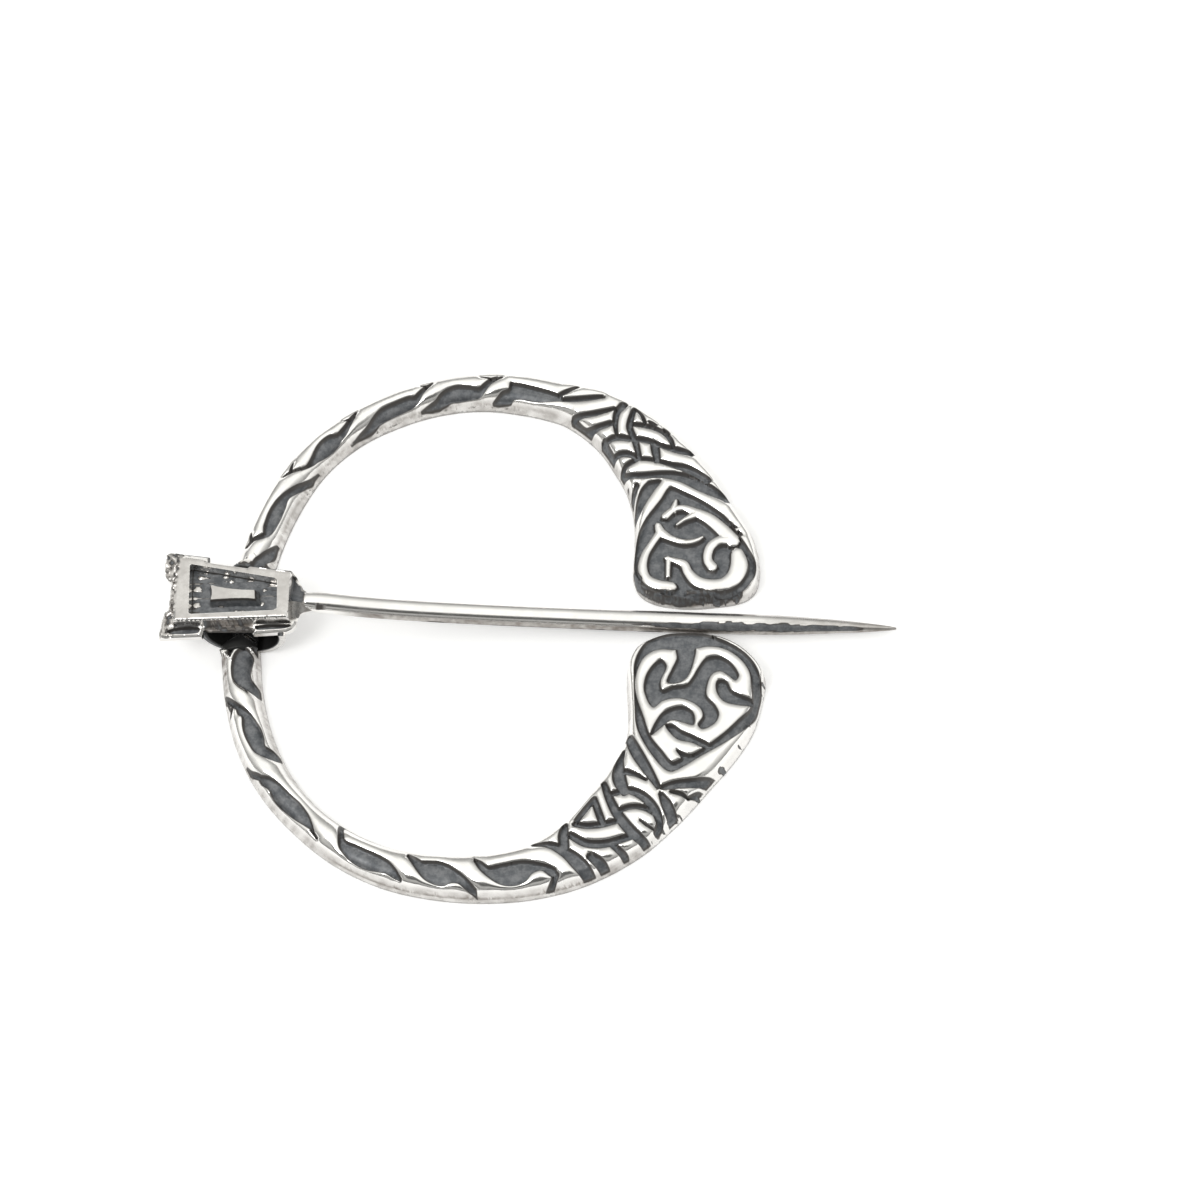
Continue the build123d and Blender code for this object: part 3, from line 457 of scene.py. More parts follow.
def thinned(points, gap):
    """The points without those that lie closer than a gap to an earlier one."""
    cells = {}
    kept = []
    for number, (x, y) in enumerate(points):
        column, row = int(x // gap), int(y // gap)
        around = [spot for i in (column - 1, column, column + 1) for j in (row - 1, row, row + 1)
                  for spot in cells.get((i, j), ())]
        if all((a - x)**2 + (b - y)**2 >= gap * gap for a, b in around):
            cells.setdefault((column, row), []).append((x, y))
            kept.append(number)
    return points[kept]


def lattice(outline, step):
    """Staggered grid of points over an outline's box."""
    low = outline[:, :2].min(axis=0)
    high = outline[:, :2].max(axis=0)
    made = []
    for row, y in enumerate(np.arange(low[1], high[1], step * 0.866)):
        x = np.arange(low[0] + (row % 2) * step / 2, high[0], step)
        made.append(np.stack([x, np.full(len(x), y)], axis=1))
    return np.vstack(made)


def sheet(outline, points):
    """Triangles over an outline and the points in it, its rim, and the triangles over the outline alone."""
    count = len(outline)
    flat = [Vector(p) for p in np.vstack([outline, points]).tolist()]
    edges = [(number, (number + 1) % count) for number in range(count)]
    verts, _, faces, origins, _, _ = delaunay_2d_cdt(flat, edges, [], 1, 1e-5)
    place = np.array([tuple(v) for v in verts])
    found = {origin: number for number, group in enumerate(origins) for origin in group}
    rim = [found[number] for number in range(count)]
    _, _, under, origins, _, _ = delaunay_2d_cdt([Vector(p) for p in outline.tolist()], edges, [], 1, 1e-5)
    return place, [list(face) for face in faces], rim, [[rim[origins[v][0]] for v in face] for face in under]


def tree_of(points):
    """Search tree of flat points."""
    tree = kdtree.KDTree(len(points))
    for number, (x, y) in enumerate(points[:, :2].tolist()):
        tree.insert((x, y, 0), number)
    tree.balance()
    return tree


def plain_noise(x, y, level):
    """Smooth noise at each pair of coordinates."""
    return np.array([noise.noise(Vector((a, b, level))) for a, b in zip(x, y)])


def fractal_noise(x, y, level, roughness, octaves):
    """Noise of several sizes at each pair of coordinates."""
    return np.array([noise.fractal(Vector((a, b, level)), roughness, 2.1, octaves) for a, b in zip(x, y)])


def tube_faces(rings, count, flip):
    """Faces of a tube of rings with a count of points each, closed at both ends."""
    faces = []
    for first in range(0, (rings - 1) * count, count):
        for spot in range(count):
            after = (spot + 1) % count
            near_side, far_side = (first + spot, first + after), (first + count + after, first + count + spot)
            faces.append((near_side[0], *far_side[::-1], near_side[1]) if flip else near_side + far_side)
    last = (rings - 1) * count
    caps = [tuple(range(count))[::-1], tuple(range(last, last + count))]
    return faces + [cap[::-1] if flip else cap for cap in caps]


def mesh_object(name, points, faces, material, attributes, facing=None):
    """An object from points in chart units and faces, with point attributes and a normal at each point."""
    mesh = bpy.data.meshes.new(name)
    placed = np.asarray(points, float) * unit + np.array(centre)
    mesh.from_pydata(placed.tolist(), [], faces)
    for key, values in attributes.items():
        layer = mesh.attributes.new(key, "FLOAT", "POINT")
        layer.data.foreach_set("value", np.asarray(values, np.float32))
    if facing is not None:
        layer = mesh.attributes.new("facing", "FLOAT_VECTOR", "POINT")
        layer.data.foreach_set("vector", np.asarray(facing, np.float32).ravel())
    mesh.materials.append(material)
    mesh.polygons.foreach_set("use_smooth", [True] * len(mesh.polygons))
    mesh.validate()
    mesh.update()
    made = bpy.data.objects.new(name, mesh)
    bpy.context.scene.collection.objects.link(made)
    return made


def joined(name, objects):
    """The objects joined into one."""
    bpy.ops.object.select_all(action="DESELECT")
    for each in objects:
        each.select_set(True)
    bpy.context.view_layer.objects.active = objects[0]
    bpy.ops.object.join()
    objects[0].name = name
    return objects[0]


def turned_normals(made):
    """Gives a mesh the normals in its facing attribute. Where that is zero, it keeps its own."""
    mesh = made.data
    normals = np.zeros(3 * len(mesh.vertices), np.float32)
    mesh.attributes["facing"].data.foreach_get("vector", normals)
    mesh.normals_split_custom_set_from_vertices(normals.reshape(-1, 3).tolist())
    mesh.attributes.remove(mesh.attributes["facing"])


# Materials

def math_node(tree, kind, values):
    """Output of a math node. Each value is a number or the output of another node."""
    node = tree.nodes.new("ShaderNodeMath")
    node.operation = kind
    for socket, value in zip(node.inputs, values):
        if isinstance(value, (int, float)):
            socket.default_value = value
        else:
            tree.links.new(value, socket)
    return node.outputs["Value"]


def mix_node(tree, values, share=1.0, blend="MIX"):
    """Colour output of a mix node. Values and share are constants or the outputs of other nodes."""
    node = tree.nodes.new("ShaderNodeMix")
    node.data_type, node.blend_type = "RGBA", blend
    sockets = [node.inputs["Factor"]] + [socket for socket in node.inputs if socket.type == "RGBA"]
    for socket, value in zip(sockets, (share, *values)):
        if isinstance(value, (float, tuple)):
            socket.default_value = value
        else:
            tree.links.new(value, socket)
    return [socket for socket in node.outputs if socket.type == "RGBA"][0]


def silver(name, bright, rough):
    """Polished silver, blackened where the hollow attribute is above 0 and dull brown where the other
    attribute is high. Both attributes carry the metal's own blackening and dullness in places, and painted
    shade and shadow in others.
    """
    material = bpy.data.materials.new(name)
    material.use_nodes = True
    nodes, links = material.node_tree.nodes, material.node_tree.links
    shader = nodes["Principled BSDF"]
    place = nodes.new("ShaderNodeTexCoord")

    def noise_at(scale, detail, roughness=0.6):
        node = nodes.new("ShaderNodeTexNoise")
        node.inputs["Scale"].default_value = scale
        node.inputs["Detail"].default_value = detail
        node.inputs["Roughness"].default_value = roughness
        links.new(place.outputs["Object"], node.inputs["Vector"])
        return node.outputs["Fac"]

    def spread(value, start, end, low, high):
        node = nodes.new("ShaderNodeMapRange")
        node.interpolation_type = "SMOOTHSTEP"
        for key, number in (("From Min", start), ("From Max", end), ("To Min", low), ("To Max", high)):
            node.inputs[key].default_value = number
        links.new(value, node.inputs["Value"])
        return node.outputs["Result"]

    def worked(kind, *values):
        return math_node(material.node_tree, kind, values)

    def mixed(share, *values):
        return mix_node(material.node_tree, [(*v, 1.0) if isinstance(v, tuple) else v for v in values], share)

    fine = noise_at(2600.0, 4.0)
    broad = noise_at(500.0, 3.0)
    patina_and_shade_level = nodes.new("ShaderNodeAttribute")
    patina_and_shade_level.attribute_name = "hollow"
    dullness_and_shade = nodes.new("ShaderNodeAttribute")
    dullness_and_shade.attribute_name = "dullness_and_shade"
    dull = dullness_and_shade.outputs["Fac"]
    wavy = worked("ADD", patina_and_shade_level.outputs["Fac"], worked("MULTIPLY", worked("SUBTRACT", fine, 0.5), 0.03))
    dark = spread(wavy, -0.06, 0.0, 0.0, 1.0)
    # Painted shade: darker brown along the walls just inside each hollow, where shade falls
    painted_wall_shade = spread(wavy, 0.03, 0.14, 1.0, 0.0)
    grit = noise_at(1500.0, 5.0, 0.75)
    patina_and_shade = mixed(spread(grit, 0.35, 0.68, 0.0, 1.0), (0.1, 0.108, 0.118), (0.215, 0.22, 0.228))
    patina_and_shade = mixed(painted_wall_shade, patina_and_shade, (0.085, 0.078, 0.073))
    # Painted shadow: near black where the hollow attribute passes 0.34, which only the neck and the inside of
    # the strap reach
    patina_and_shade = mixed(spread(patina_and_shade_level.outputs["Fac"], 0.34, 0.44, 0.0, 1.0), patina_and_shade, (0.022, 0.022, 0.022))
    metal = mixed(spread(broad, 0.35, 0.7, 0.0, 1.0), bright, tuple(0.93 * c for c in bright))
    mottle = worked("SUBTRACT", worked("ADD", fine, broad), 1.0)
    mottle = worked("MULTIPLY", mottle, worked("MULTIPLY", dull, dull))
    # The brown tarnish is real dullness in places, and painted shade on the shank's underside and beside the
    # upper gap
    tarnish_and_shade = worked("MAXIMUM", worked("ADD", dull, worked("MULTIPLY", mottle, 1.6)), 0.0)
    metal = mixed(tarnish_and_shade, metal, (0.17, 0.145, 0.125))
    links.new(mixed(dark, metal, patina_and_shade), shader.inputs["Base Color"])
    links.new(spread(dark, 0.0, 1.0, 1.0, 0.35), shader.inputs["Metallic"])
    worn = spread(broad, 0.3, 0.75, rough * 0.7, rough * 1.5)
    worn = worked("ADD", worn, worked("MULTIPLY", dull, 0.25))
    links.new(worked("ADD", worn, worked("MULTIPLY", dark, 0.3)), shader.inputs["Roughness"])
    bump = nodes.new("ShaderNodeBump")
    bump.inputs["Strength"].default_value = 0.25
    bump.inputs["Distance"].default_value = 0.000012
    links.new(fine, bump.inputs["Height"])
    links.new(bump.outputs["Normal"], shader.inputs["Normal"])
    return material


hoop_silver = silver("hoop_silver", (0.92, 0.905, 0.885), 0.15)
pin_silver = silver("pin_silver", (0.9, 0.885, 0.865), 0.16)


# Hoop

def side_rows(rows, share):
    """Outline rows x, y with the share of the inset that they take."""
    return [(x, y, share) for x, y in rows]


def half_outline(upper):
    """Closed outline of one half of the hoop, from the neck round its terminal and back."""
    cut = 180 - NECK_HALF_TURN if upper else 180 + NECK_HALF_TURN
    half = [row for row in BAND if (row[0] < cut if upper else row[0] > cut)]
    end = (cut, 17.0, 19.7) if upper else (cut, 17.18, 19.93)
    rows = half + [end] if upper else [end] + half
    outer = side_rows([on_ring(turn, radius) for turn, _, radius in rows], 1.0)
    inner = side_rows([on_ring(turn, radius) for turn, radius, _ in rows], 1.0)
    if upper:
        run = inner[::-1] + side_rows(UPPER_INNER, 0.7) + side_rows(UPPER_END, 0.35)
        run += side_rows([on_ring(*row) for row in UPPER_OUTER], 0.7) + outer
    else:
        run = outer + side_rows([on_ring(*row) for row in reversed(LOWER_OUTER)], 0.8)
        run += side_rows(LOWER_END[::-1], 0.35) + side_rows(LOWER_INNER[::-1], 0.7) + inner[::-1]
    line = smooth(run, RIM_STEP)
    closing = straight([(*line[-1, :2], 0.12), (*line[0, :2], 0.12)], RIM_STEP)[1:-1]
    return np.vstack([line, closing])


def inset_points(outline, inset):
    """The outline's points moved inward, each by its own share of the inset."""
    run = np.roll(outline[:, :2], -1, axis=0) - np.roll(outline[:, :2], 1, axis=0)
    run /= np.linalg.norm(run, axis=1)[:, None]
    inward = np.stack([-run[:, 1], run[:, 0]], axis=1)
    return outline[:, :2] + inward * (inset * outline[:, 2])[:, None]


def edge_distance(points, outline):
    """Distance of each point from the outline, over the share that the nearest point takes."""
    dense = straight([tuple(row) for row in outline], CONTOUR_STEP, True)
    tree = tree_of(dense)
    nearest = np.array([tree.find((x, y, 0))[1] for x, y in points.tolist()])
    result = np.full(len(points), -FAR)
    for offset in (-1, 0):
        start = dense[(nearest + offset) % len(dense)]
        run = dense[(nearest + offset + 1) % len(dense)] - start
        flat = run[:, :2]
        ahead = np.einsum("ij,ij->i", points - start[:, :2], flat)
        t = np.clip(ahead / np.einsum("ij,ij->i", flat, flat), 0, 1)
        away = np.linalg.norm(points - start[:, :2] - t[:, None] * flat, axis=1)
        result = np.minimum(result, away / (start[:, 2] + t * run[:, 2]))
    return result


relief = Relief()
relief_edges = relief.edges()
uphill = slope(relief.depth_in, relief_edges)
profile_line = smooth(PROFILE, 0.02)


def surface(points, outline):
    """Height of the hoop's face, inset from the outline, and distance into a hollow."""
    away = edge_distance(points, outline)
    height = np.interp(away, profile_line[:, 0], profile_line[:, 1])
    into = relief.depth_in(points)
    height -= RELIEF_DEPTH * ease(into / WALL) * ease((away - 0.1) / 0.4)
    height -= ROUND_DROP * np.clip(1 + into / ROUND_REACH, 0, 1)**2 * ease((away - 0.1) / 0.3)
    x, y = points.T
    wave = 0.02 * plain_noise(x * 0.6, y * 0.6, 3.0) + 0.004 * plain_noise(x * 2, y * 2, 5.0)
    return height + wave * ease(away / 0.5), away, into


TURNS = [turn for turn, _, _ in BAND]
MIDDLES = [(inner + outer) / 2 for _, inner, outer in BAND]


def hoop_marks(upper, x, y, away, into):
    """Distance into a blackened hollow, with specks and with painted shade beside the upper gap, and dullness
    at each point of the hoop's face.
    """
    into = np.minimum(into, 0.9 * (away - 0.14))
    turn = np.degrees(np.arctan2(y, x)) % 360
    radius = np.hypot(x, y)
    grain = fractal_noise(x * 0.8, y * 3, 6.0, 0.7, 2)
    inner_side = radius < np.interp(turn, TURNS, MIDDLES)

    def line_at(inset):
        return np.exp(-((away - inset) / 0.05)**2)

    # Grey rim, specks on the right one, and a line along the band's inner border
    right_rim = between(turn, 302, 348, 4, 4) * ease(radius - 15.5)
    rim_tint = (0.4 - 0.15 * np.clip(2 * grain, -1, 1)) * (1 - ease((away - 0.22) / 0.26))
    rim_tint *= 1 - 0.8 * right_rim
    specks = np.maximum(into, 0.6 * (grain - 0.2) - 1.2 * np.abs(away - 0.24))
    into = np.where((right_rim > 0.5) & (away < 0.4), specks, into)
    border = 0.7 * between(turn, 78, 284, 4, 4) * inner_side * line_at(0.2)
    if upper:
        # Dull, scarred wall beside the gap: oxidised metal with painted shade over it
        reach = 2.3 + 1.5 * ease((9.9 - x) / 1.1)
        dull = ease((reach - y) / 0.6) * ease((17.2 - x) / 0.8) * ease((away - 0.03) / 0.05)
        scars = fractal_noise(x * 1.4, away * 11, 2.0, 0.8, 4)
        scarred_and_shaded = np.maximum(into, 0.14 * (dull - 0.3) + 0.2 * scars - 0.1 * (away < 0.08))
        into = np.where(dull > 0.3, scarred_and_shaded, into)
    else:
        # Darker line along the band's outer edge, a chapped spot, and the aged stretch beside the neck
        outer_dark_line = between(turn, 236, 296, 4, 6) * (radius > 18.6) * line_at(0.17)
        chapped = ease(1 - np.hypot(x - 12.9, y + 7.5) / 0.8)
        aged = ease((202 - turn) / 6) * (turn > 170) * ~inner_side * ease((0.75 - away) / 0.35)
        dull = np.maximum(np.maximum(0.9 * outer_dark_line, 0.6 * chapped), aged * (0.7 + 0.6 * grain))
    return np.minimum(into, 0.3), np.maximum(dull, np.maximum(rim_tint, border))


def hoop_half(name, upper):
    """One half of the hoop with its terminal, as a closed mesh."""
    outline = half_outline(upper)
    rim = np.vstack([inset_points(outline, inset) for inset in RIM_LOOPS])
    marks = [relief_edges] + [relief_edges + uphill * step for step in (WALL, -WALL)]
    marks += [relief_edges[::2] - uphill[::2] * 0.24]
    points = np.vstack(marks + [rim, lattice(outline, FIELD_STEP)])
    points = thinned(points[inside(points, outline) > 0.02], POINT_GAP)
    place, faces, rim_order, under = sheet(outline[:, :2], points)
    height, away, into = surface(place, outline)
    height[rim_order] = 0.0
    tilt = []
    for step in ((TILT_REACH, 0.0), (0.0, TILT_REACH)):
        ahead, behind = surface(place + step, outline)[0], surface(place - step, outline)[0]
        tilt.append((behind - ahead) / (2 * TILT_REACH))
    facing = np.column_stack(tilt + [np.ones(len(place))])
    facing /= np.linalg.norm(facing, axis=1)[:, None]
    facing[away < 0.05] = 0.0
    into, dull = hoop_marks(upper, *place.T, away, into)
    solid = np.column_stack([place, np.maximum(height, 0)])
    marks = {"hollow": into, "dullness_and_shade": dull}
    return mesh_object(name, solid, faces + [face[::-1] for face in under], hoop_silver, marks, facing)


# Light edges on the neck, which is painted near black as shadow elsewhere: turn, radius
COLLAR = [
    [(187.2, 19.1), (186.8, 18.85), (186.4, 18.5)],
    [(186.6, 18), (187.3, 17.75), (188.1, 17.35)],
]


def neck():
    """Plain oval bar that the pin hangs on, in one curve through the head."""
    turns = np.linspace(180 - NECK_HALF_TURN - 0.6, 180 + NECK_HALF_TURN + 0.6, 120)
    round_count = 72
    points = []
    for turn in turns:
        flare = ease((abs(turn - 180) - 6.2) / 2.2)
        half_width = NECK_HALF_WIDTH + 0.35 * flare
        for angle in np.linspace(0, 2 * np.pi, round_count, endpoint=False):
            x, y = on_ring(turn, NECK_RADIUS + 0.45 * flare + half_width * np.cos(angle))
            points.append((x, y, NECK_RISE + (NECK_HEIGHT / 2 + 0.1 * flare) * np.sin(angle)))
    flat = np.array(points)[:, :2]
    arcs = [np.array([(*on_ring(turn, radius), 0.2) for turn, radius in rows]) for rows in COLLAR]
    light = np.max([in_ribbon(flat, arc) for arc in arcs], axis=0) > 0
    # Painted shadow: the neck under the head is near black, save the light edges on its top
    shade = np.where(light & (np.array(points)[:, 2] > NECK_RISE), -0.3, 0.6)
    marks = {"hollow": shade, "dullness_and_shade": 0 * shade}
    return mesh_object("neck", points, tube_faces(len(turns), round_count, False), hoop_silver, marks)


hoop = joined("hoop_dressed", [hoop_half("upper_half", True), hoop_half("lower_half", False), neck()])
turned_normals(hoop)
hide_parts("hoop")
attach(hoop, "hoop")


# Pin: lengths along X from the hinge, widths across, heights
HEAD_BOTTOM = 3.0
FLANGE_TOP = 3.6
HEAD_TOP = 4.5
PANEL_FLOOR = 3.6
WEDGE_TOP = 4.4
FLANGE = [
    (-5.38, -3.2), (-2.42, -3.02), (-2.32, -2.48), (1.1, -2.42), (1.12, -2.72), (3.4, -2.5), (3.75, -2.3),
    (4, -1.95), (4.02, -1.4), (4.15, -1.05), (4.45, -0.86), (4.8, -0.72), (5.6, -0.4), (5.6, 0.3),
    (4.8, 0.52), (4.5, 0.62), (4.2, 0.8), (3.95, 1.25), (3.7, 1.6), (3.3, 2.05), (3, 2.12), (0.5, 2.32),
    (0.45, 1.8), (-2.5, 2.2), (-2.55, 3), (-5.3, 3.3), (-5.6, 3.1), (-5.62, 2.2), (-5.5, 1.5), (-5.3, 1.2),
    (-5, 1.05), (-4.95, -1.1), (-5.2, -1.3), (-5.32, -1.8),
]
FRAME = [(-4.32, -2.36), (3.6, -1.88), (3.42, 1.53), (-4.6, 2.56)]
PANEL = [
    (-3.27, -1.68), (-3.1, -1.78), (2.55, -1.36), (2.78, -1.2), (2.58, 0.9), (2.4, 1.07), (-3.45, 1.98),
    (-3.6, 1.9),
]
WEDGE = [
    (-1.88, -0.62), (-1.3, -0.56), (-0.2, -0.47), (0.7, -0.45), (1.18, -0.5), (1.12, -0.15), (1.08, 0.17),
    (0.2, 0.17), (-0.8, 0.25), (-1.5, 0.36), (-2.02, 0.5), (-1.88, 0.1), (-1.84, -0.2),
]
TRENCHES = [
    [(-4.9, -2.72), (-4.3, -2.45), (-2.75, -2.34), (-2.55, -2.5), (-2.7, -2.78), (-4.4, -2.9)],
    [(1.25, -2.15), (3.5, -1.98), (3.72, -2.08), (3.4, -2.27), (1.6, -2.45), (1.28, -2.4)],
]
LUMPS = [
    (-2.9, 1.3, 0.42), (-3.05, 0.5, 0.58), (-3.15, -0.25, 0.32), (-3, -0.75, 0.46), (-1.2, 1.35, 0.4),
    (-0.75, 1.15, 0.26), (1.6, 0.5, 0.24), (1.35, -0.1, 0.18), (1.55, -0.55, 0.26), (-0.2, -1.15, 0.18),
]
SHANK = [
    (4.2, 3.12, 0.8), (4.9, 2.98, 0.95), (5.7, 2.84, 1.02), (8, 2.4, 1), (11, 1.98, 1), (16, 1.55, 1),
    (21.5, 1.23, 1), (31.6, 0.78, 1), (36.5, 0.74, 0.93), (41, 0.66, 0.62), (44.2, 0.57, 0.24),
    (44.8, 0.55, 0.1),
]
SHANK_RADIUS = 0.725
STRAP_CENTRE = 0.3
STRAP_HALF_WIDTH = 2.95
STRAP_WALL = 0.5
STRAP_FRONT = -2.7
STRAP_BACK = 2.25
HEAD_STEP = 0.07


def grown(line, distance):
    """A counter-clockwise closed line moved outward by a distance."""
    return inset_points(np.column_stack([line[:, :2], np.ones(len(line))]), -distance)


def head():
    """Head of the pin: frame, panel, wedge and flange as one closed mesh."""
    outline, frame_line, panel_line, wedge_line = [
        straight(rows, HEAD_STEP, True) for rows in (FLANGE, FRAME, PANEL, WEDGE)
    ]
    trenches = [smooth(rows, HEAD_STEP, True) for rows in TRENCHES]
    loops = [grown(outline, -0.05), grown(outline, -0.14)]
    for line, steps in ((frame_line, (0, 0.06, -0.05, -0.12, -0.2)), (panel_line, (0, -0.06, 0.06)),
                        (wedge_line, (0, 0.04, 0.25))):
        loops += [grown(line, step) if step else line for step in steps]
    fixed = np.vstack(loops + trenches)
    field = lattice(outline, HEAD_STEP * 1.2)
    field = field[inside(field, outline) > 0.06]
    tree = tree_of(fixed)
    field = field[[tree.find((x, y, 0))[2] > 0.045 for x, y in field.tolist()]]
    place, faces, rim, under = sheet(outline, np.vstack([fixed, field]))
    x, y = place.T
    in_outline = inside(place, outline)
    in_frame, in_panel, in_wedge = [inside(place, line) for line in (frame_line, panel_line, wedge_line)]
    in_trench = np.max([inside(place, line) for line in trenches], axis=0)
    rough = fractal_noise(x * 1.6, y * 2.8, 0.0, 0.7, 5)
    grain = plain_noise(x * 3.4, y * 3.4, 7.0)
    streak = plain_noise(x * 0.7 + y, y * 7.0, 2.0)
    height = FLANGE_TOP - 0.14 * (1 - ease(in_outline / 0.14))
    tail = ease((-4.25 - x) / 0.25)
    height += tail * (0.16 * grain + 0.05 * rough - 0.02)
    height -= 0.3 * ease(in_trench / 0.1)
    height += (HEAD_TOP - FLANGE_TOP) * ease((in_frame + 0.06) / 0.06)
    front = y < -1.4
    height -= np.where(front, 0.14, 0.03) * (1 - np.clip(in_frame / 0.2, 0, 1)) * (in_frame > 0)
    height += 0.012 * rough * (in_frame > 0.2)
    lumps = np.zeros(len(place))
    for a, b, size in LUMPS:
        lumps = np.maximum(lumps, ease(1 - np.hypot(x - a, y - b) / size))
    floor = PANEL_FLOOR + 0.03 * rough + 0.03 * streak + 0.09 * lumps
    height = height + (floor - height) * ease(in_panel / 0.06)
    rise = np.clip(1 + in_wedge / 0.25, 0, 1)
    raised = np.maximum(height, floor + (WEDGE_TOP - floor) * rise)
    height = np.where((in_panel > 0) & (rise > 0), raised, height)
    ridge = 3.86 - 0.5 * ease((x - 3.6) / 1.6) - 0.55 * np.abs(y + 0.12)
    flare = ease((x - 3.3) / 0.05) * (in_frame < -0.03) * (np.abs(y + 0.1) < 1.75 - 0.3 * (x - 3.4))
    height = height + (np.maximum(ridge, 3.1) - height) * flare
    dark = np.minimum(in_panel, -in_wedge) - 0.03
    dark = np.where(in_panel > 0.02, dark, FAR)
    dark = np.where(dark > 0.05, np.clip(dark * 2, 0.06, 0.3), dark)
    # Painted shadow: the trenches sunk at the foot of the frame's front wall are darkened as shade
    dark = np.maximum(dark, in_trench - 0.02)
    dark = np.where((tail > 0.3) & (in_outline > 0.1), np.maximum(dark, -0.02 - 0.45 * (grain + 0.2)), dark)
    # Painted shadow: a dark line along the back outer edge of the flange
    edge = (in_outline < 0.09) & (((y > 2.5) & (x > -5.0)) | ((y > 1.95) & (x > 0.6)))
    dark = np.where(edge, 0.1, dark)
    lintel = (np.abs(x + 0.6) < 1.68) & (y < -1.9) & (in_frame < 0.03)
    dark = np.where(lintel, -0.05 + 0.3 * rough, dark)
    facet = (flare > 0.5) & (y > -0.3) & (in_outline > 0.14) & (x < 4.4)
    dark = np.where(facet, 0.3, dark)
    dark = np.clip(dark, -0.3, 0.3)
    dull = np.where(in_frame > 0, 0.42, 0.15)
    dull = np.where(front & (in_frame > 0) & (in_frame < 0.19), 0.0, dull)
    dull = np.where(in_panel > 0, 0.0, dull)
    dull = np.where(in_wedge > -0.02, 0.42, dull)
    worn = np.clip(2.2 * lumps + 2.0 * (streak - 0.14) + 0.5 * (rough - 0.1), 0, 1)
    worn = worn * (in_panel > 0.08) * (in_wedge < -0.1)
    dark = np.where(worn > 0.15, 0.3 - 0.42 * worn, dark)
    dull = np.where((worn > 0.1) & (in_panel > 0), 0.55 - 0.25 * lumps, dull)
    dull = np.maximum(dull, 0.55 * (tail > 0.3) * (in_outline > 0.05))
    dull = np.where((flare > 0.5) & (y < -0.3), 0.35 + 0.8 * np.clip(grain, -0.3, 0.4), dull)
    dull = np.where(lintel, 0.8, dull)
    count = len(place)
    lower = np.column_stack([place[rim], np.full(len(rim), HEAD_BOTTOM)])
    solid = np.vstack([np.column_stack([place, height]), lower])
    spots = {number: count + order for order, number in enumerate(rim)}
    sides = [(number, spots[number], spots[after], after) for number, after in zip(rim, rim[1:] + rim[:1])]
    bottom = [[spots[v] for v in face][::-1] for face in under]
    notch = (np.abs(place[rim][:, 0] + 0.6) < 1.75) & (place[rim][:, 1] < -1)
    solid[:, 0] -= NECK_RADIUS
    marks = {
        "hollow": np.concatenate([dark, np.where(notch, 0.03, -0.3)]),
        "dullness_and_shade": np.concatenate([dull, np.where(notch, 1.0, 0.2)]),
    }
    made = mesh_object("head", solid, faces + sides + bottom, pin_silver, marks)
    made.data.set_sharp_from_angle(angle=radians(38))
    return made


def strap():
    """Half ring under the head, which holds the hoop's neck."""
    rise = HEAD_BOTTOM + 0.1
    points, shade = [], []
    angles = np.linspace(-0.02, np.pi + 0.02, 65)
    # Loops round the section: place along the pin's width, inset from the outer face
    loops = [(STRAP_FRONT + 0.08, 0.0), (STRAP_FRONT, 0.08), (STRAP_FRONT, 0.42),
             (STRAP_FRONT + 0.04, STRAP_WALL), (STRAP_BACK, STRAP_WALL), (STRAP_BACK, 0.08),
             (STRAP_BACK - 0.08, 0.0)]
    for y, inset in loops:
        for angle in angles:
            wide, deep = STRAP_HALF_WIDTH - inset, rise - inset
            points.append((STRAP_CENTRE + wide * np.cos(angle) - NECK_RADIUS, y, rise - deep * np.sin(angle)))
            # Painted shadow over partly oxidised metal: the inside of the strap and the left of its end face
            # are near black, while the outer face and the right of the end face stay bright as the lit side
            bright_side = inset < 0.45 and np.cos(angle) > 0.1
            shade.append(-0.05 if inset < 0.1 or bright_side else 0.6)
    count = len(angles)
    faces = []
    for loop in range(len(loops)):
        for spot in range(count - 1):
            first, second = loop * count, ((loop + 1) % len(loops)) * count
            faces.append((first + spot, first + spot + 1, second + spot + 1, second + spot))
    starts = [loop * count for loop in range(len(loops))]
    faces += [tuple(starts), tuple(start + count - 1 for start in reversed(starts))]
    marks = {"hollow": shade, "dullness_and_shade": np.full(len(points), 0.25)}
    made = mesh_object("strap", points, faces, pin_silver, marks)
    made.data.set_sharp_from_angle(angle=radians(50))
    return made


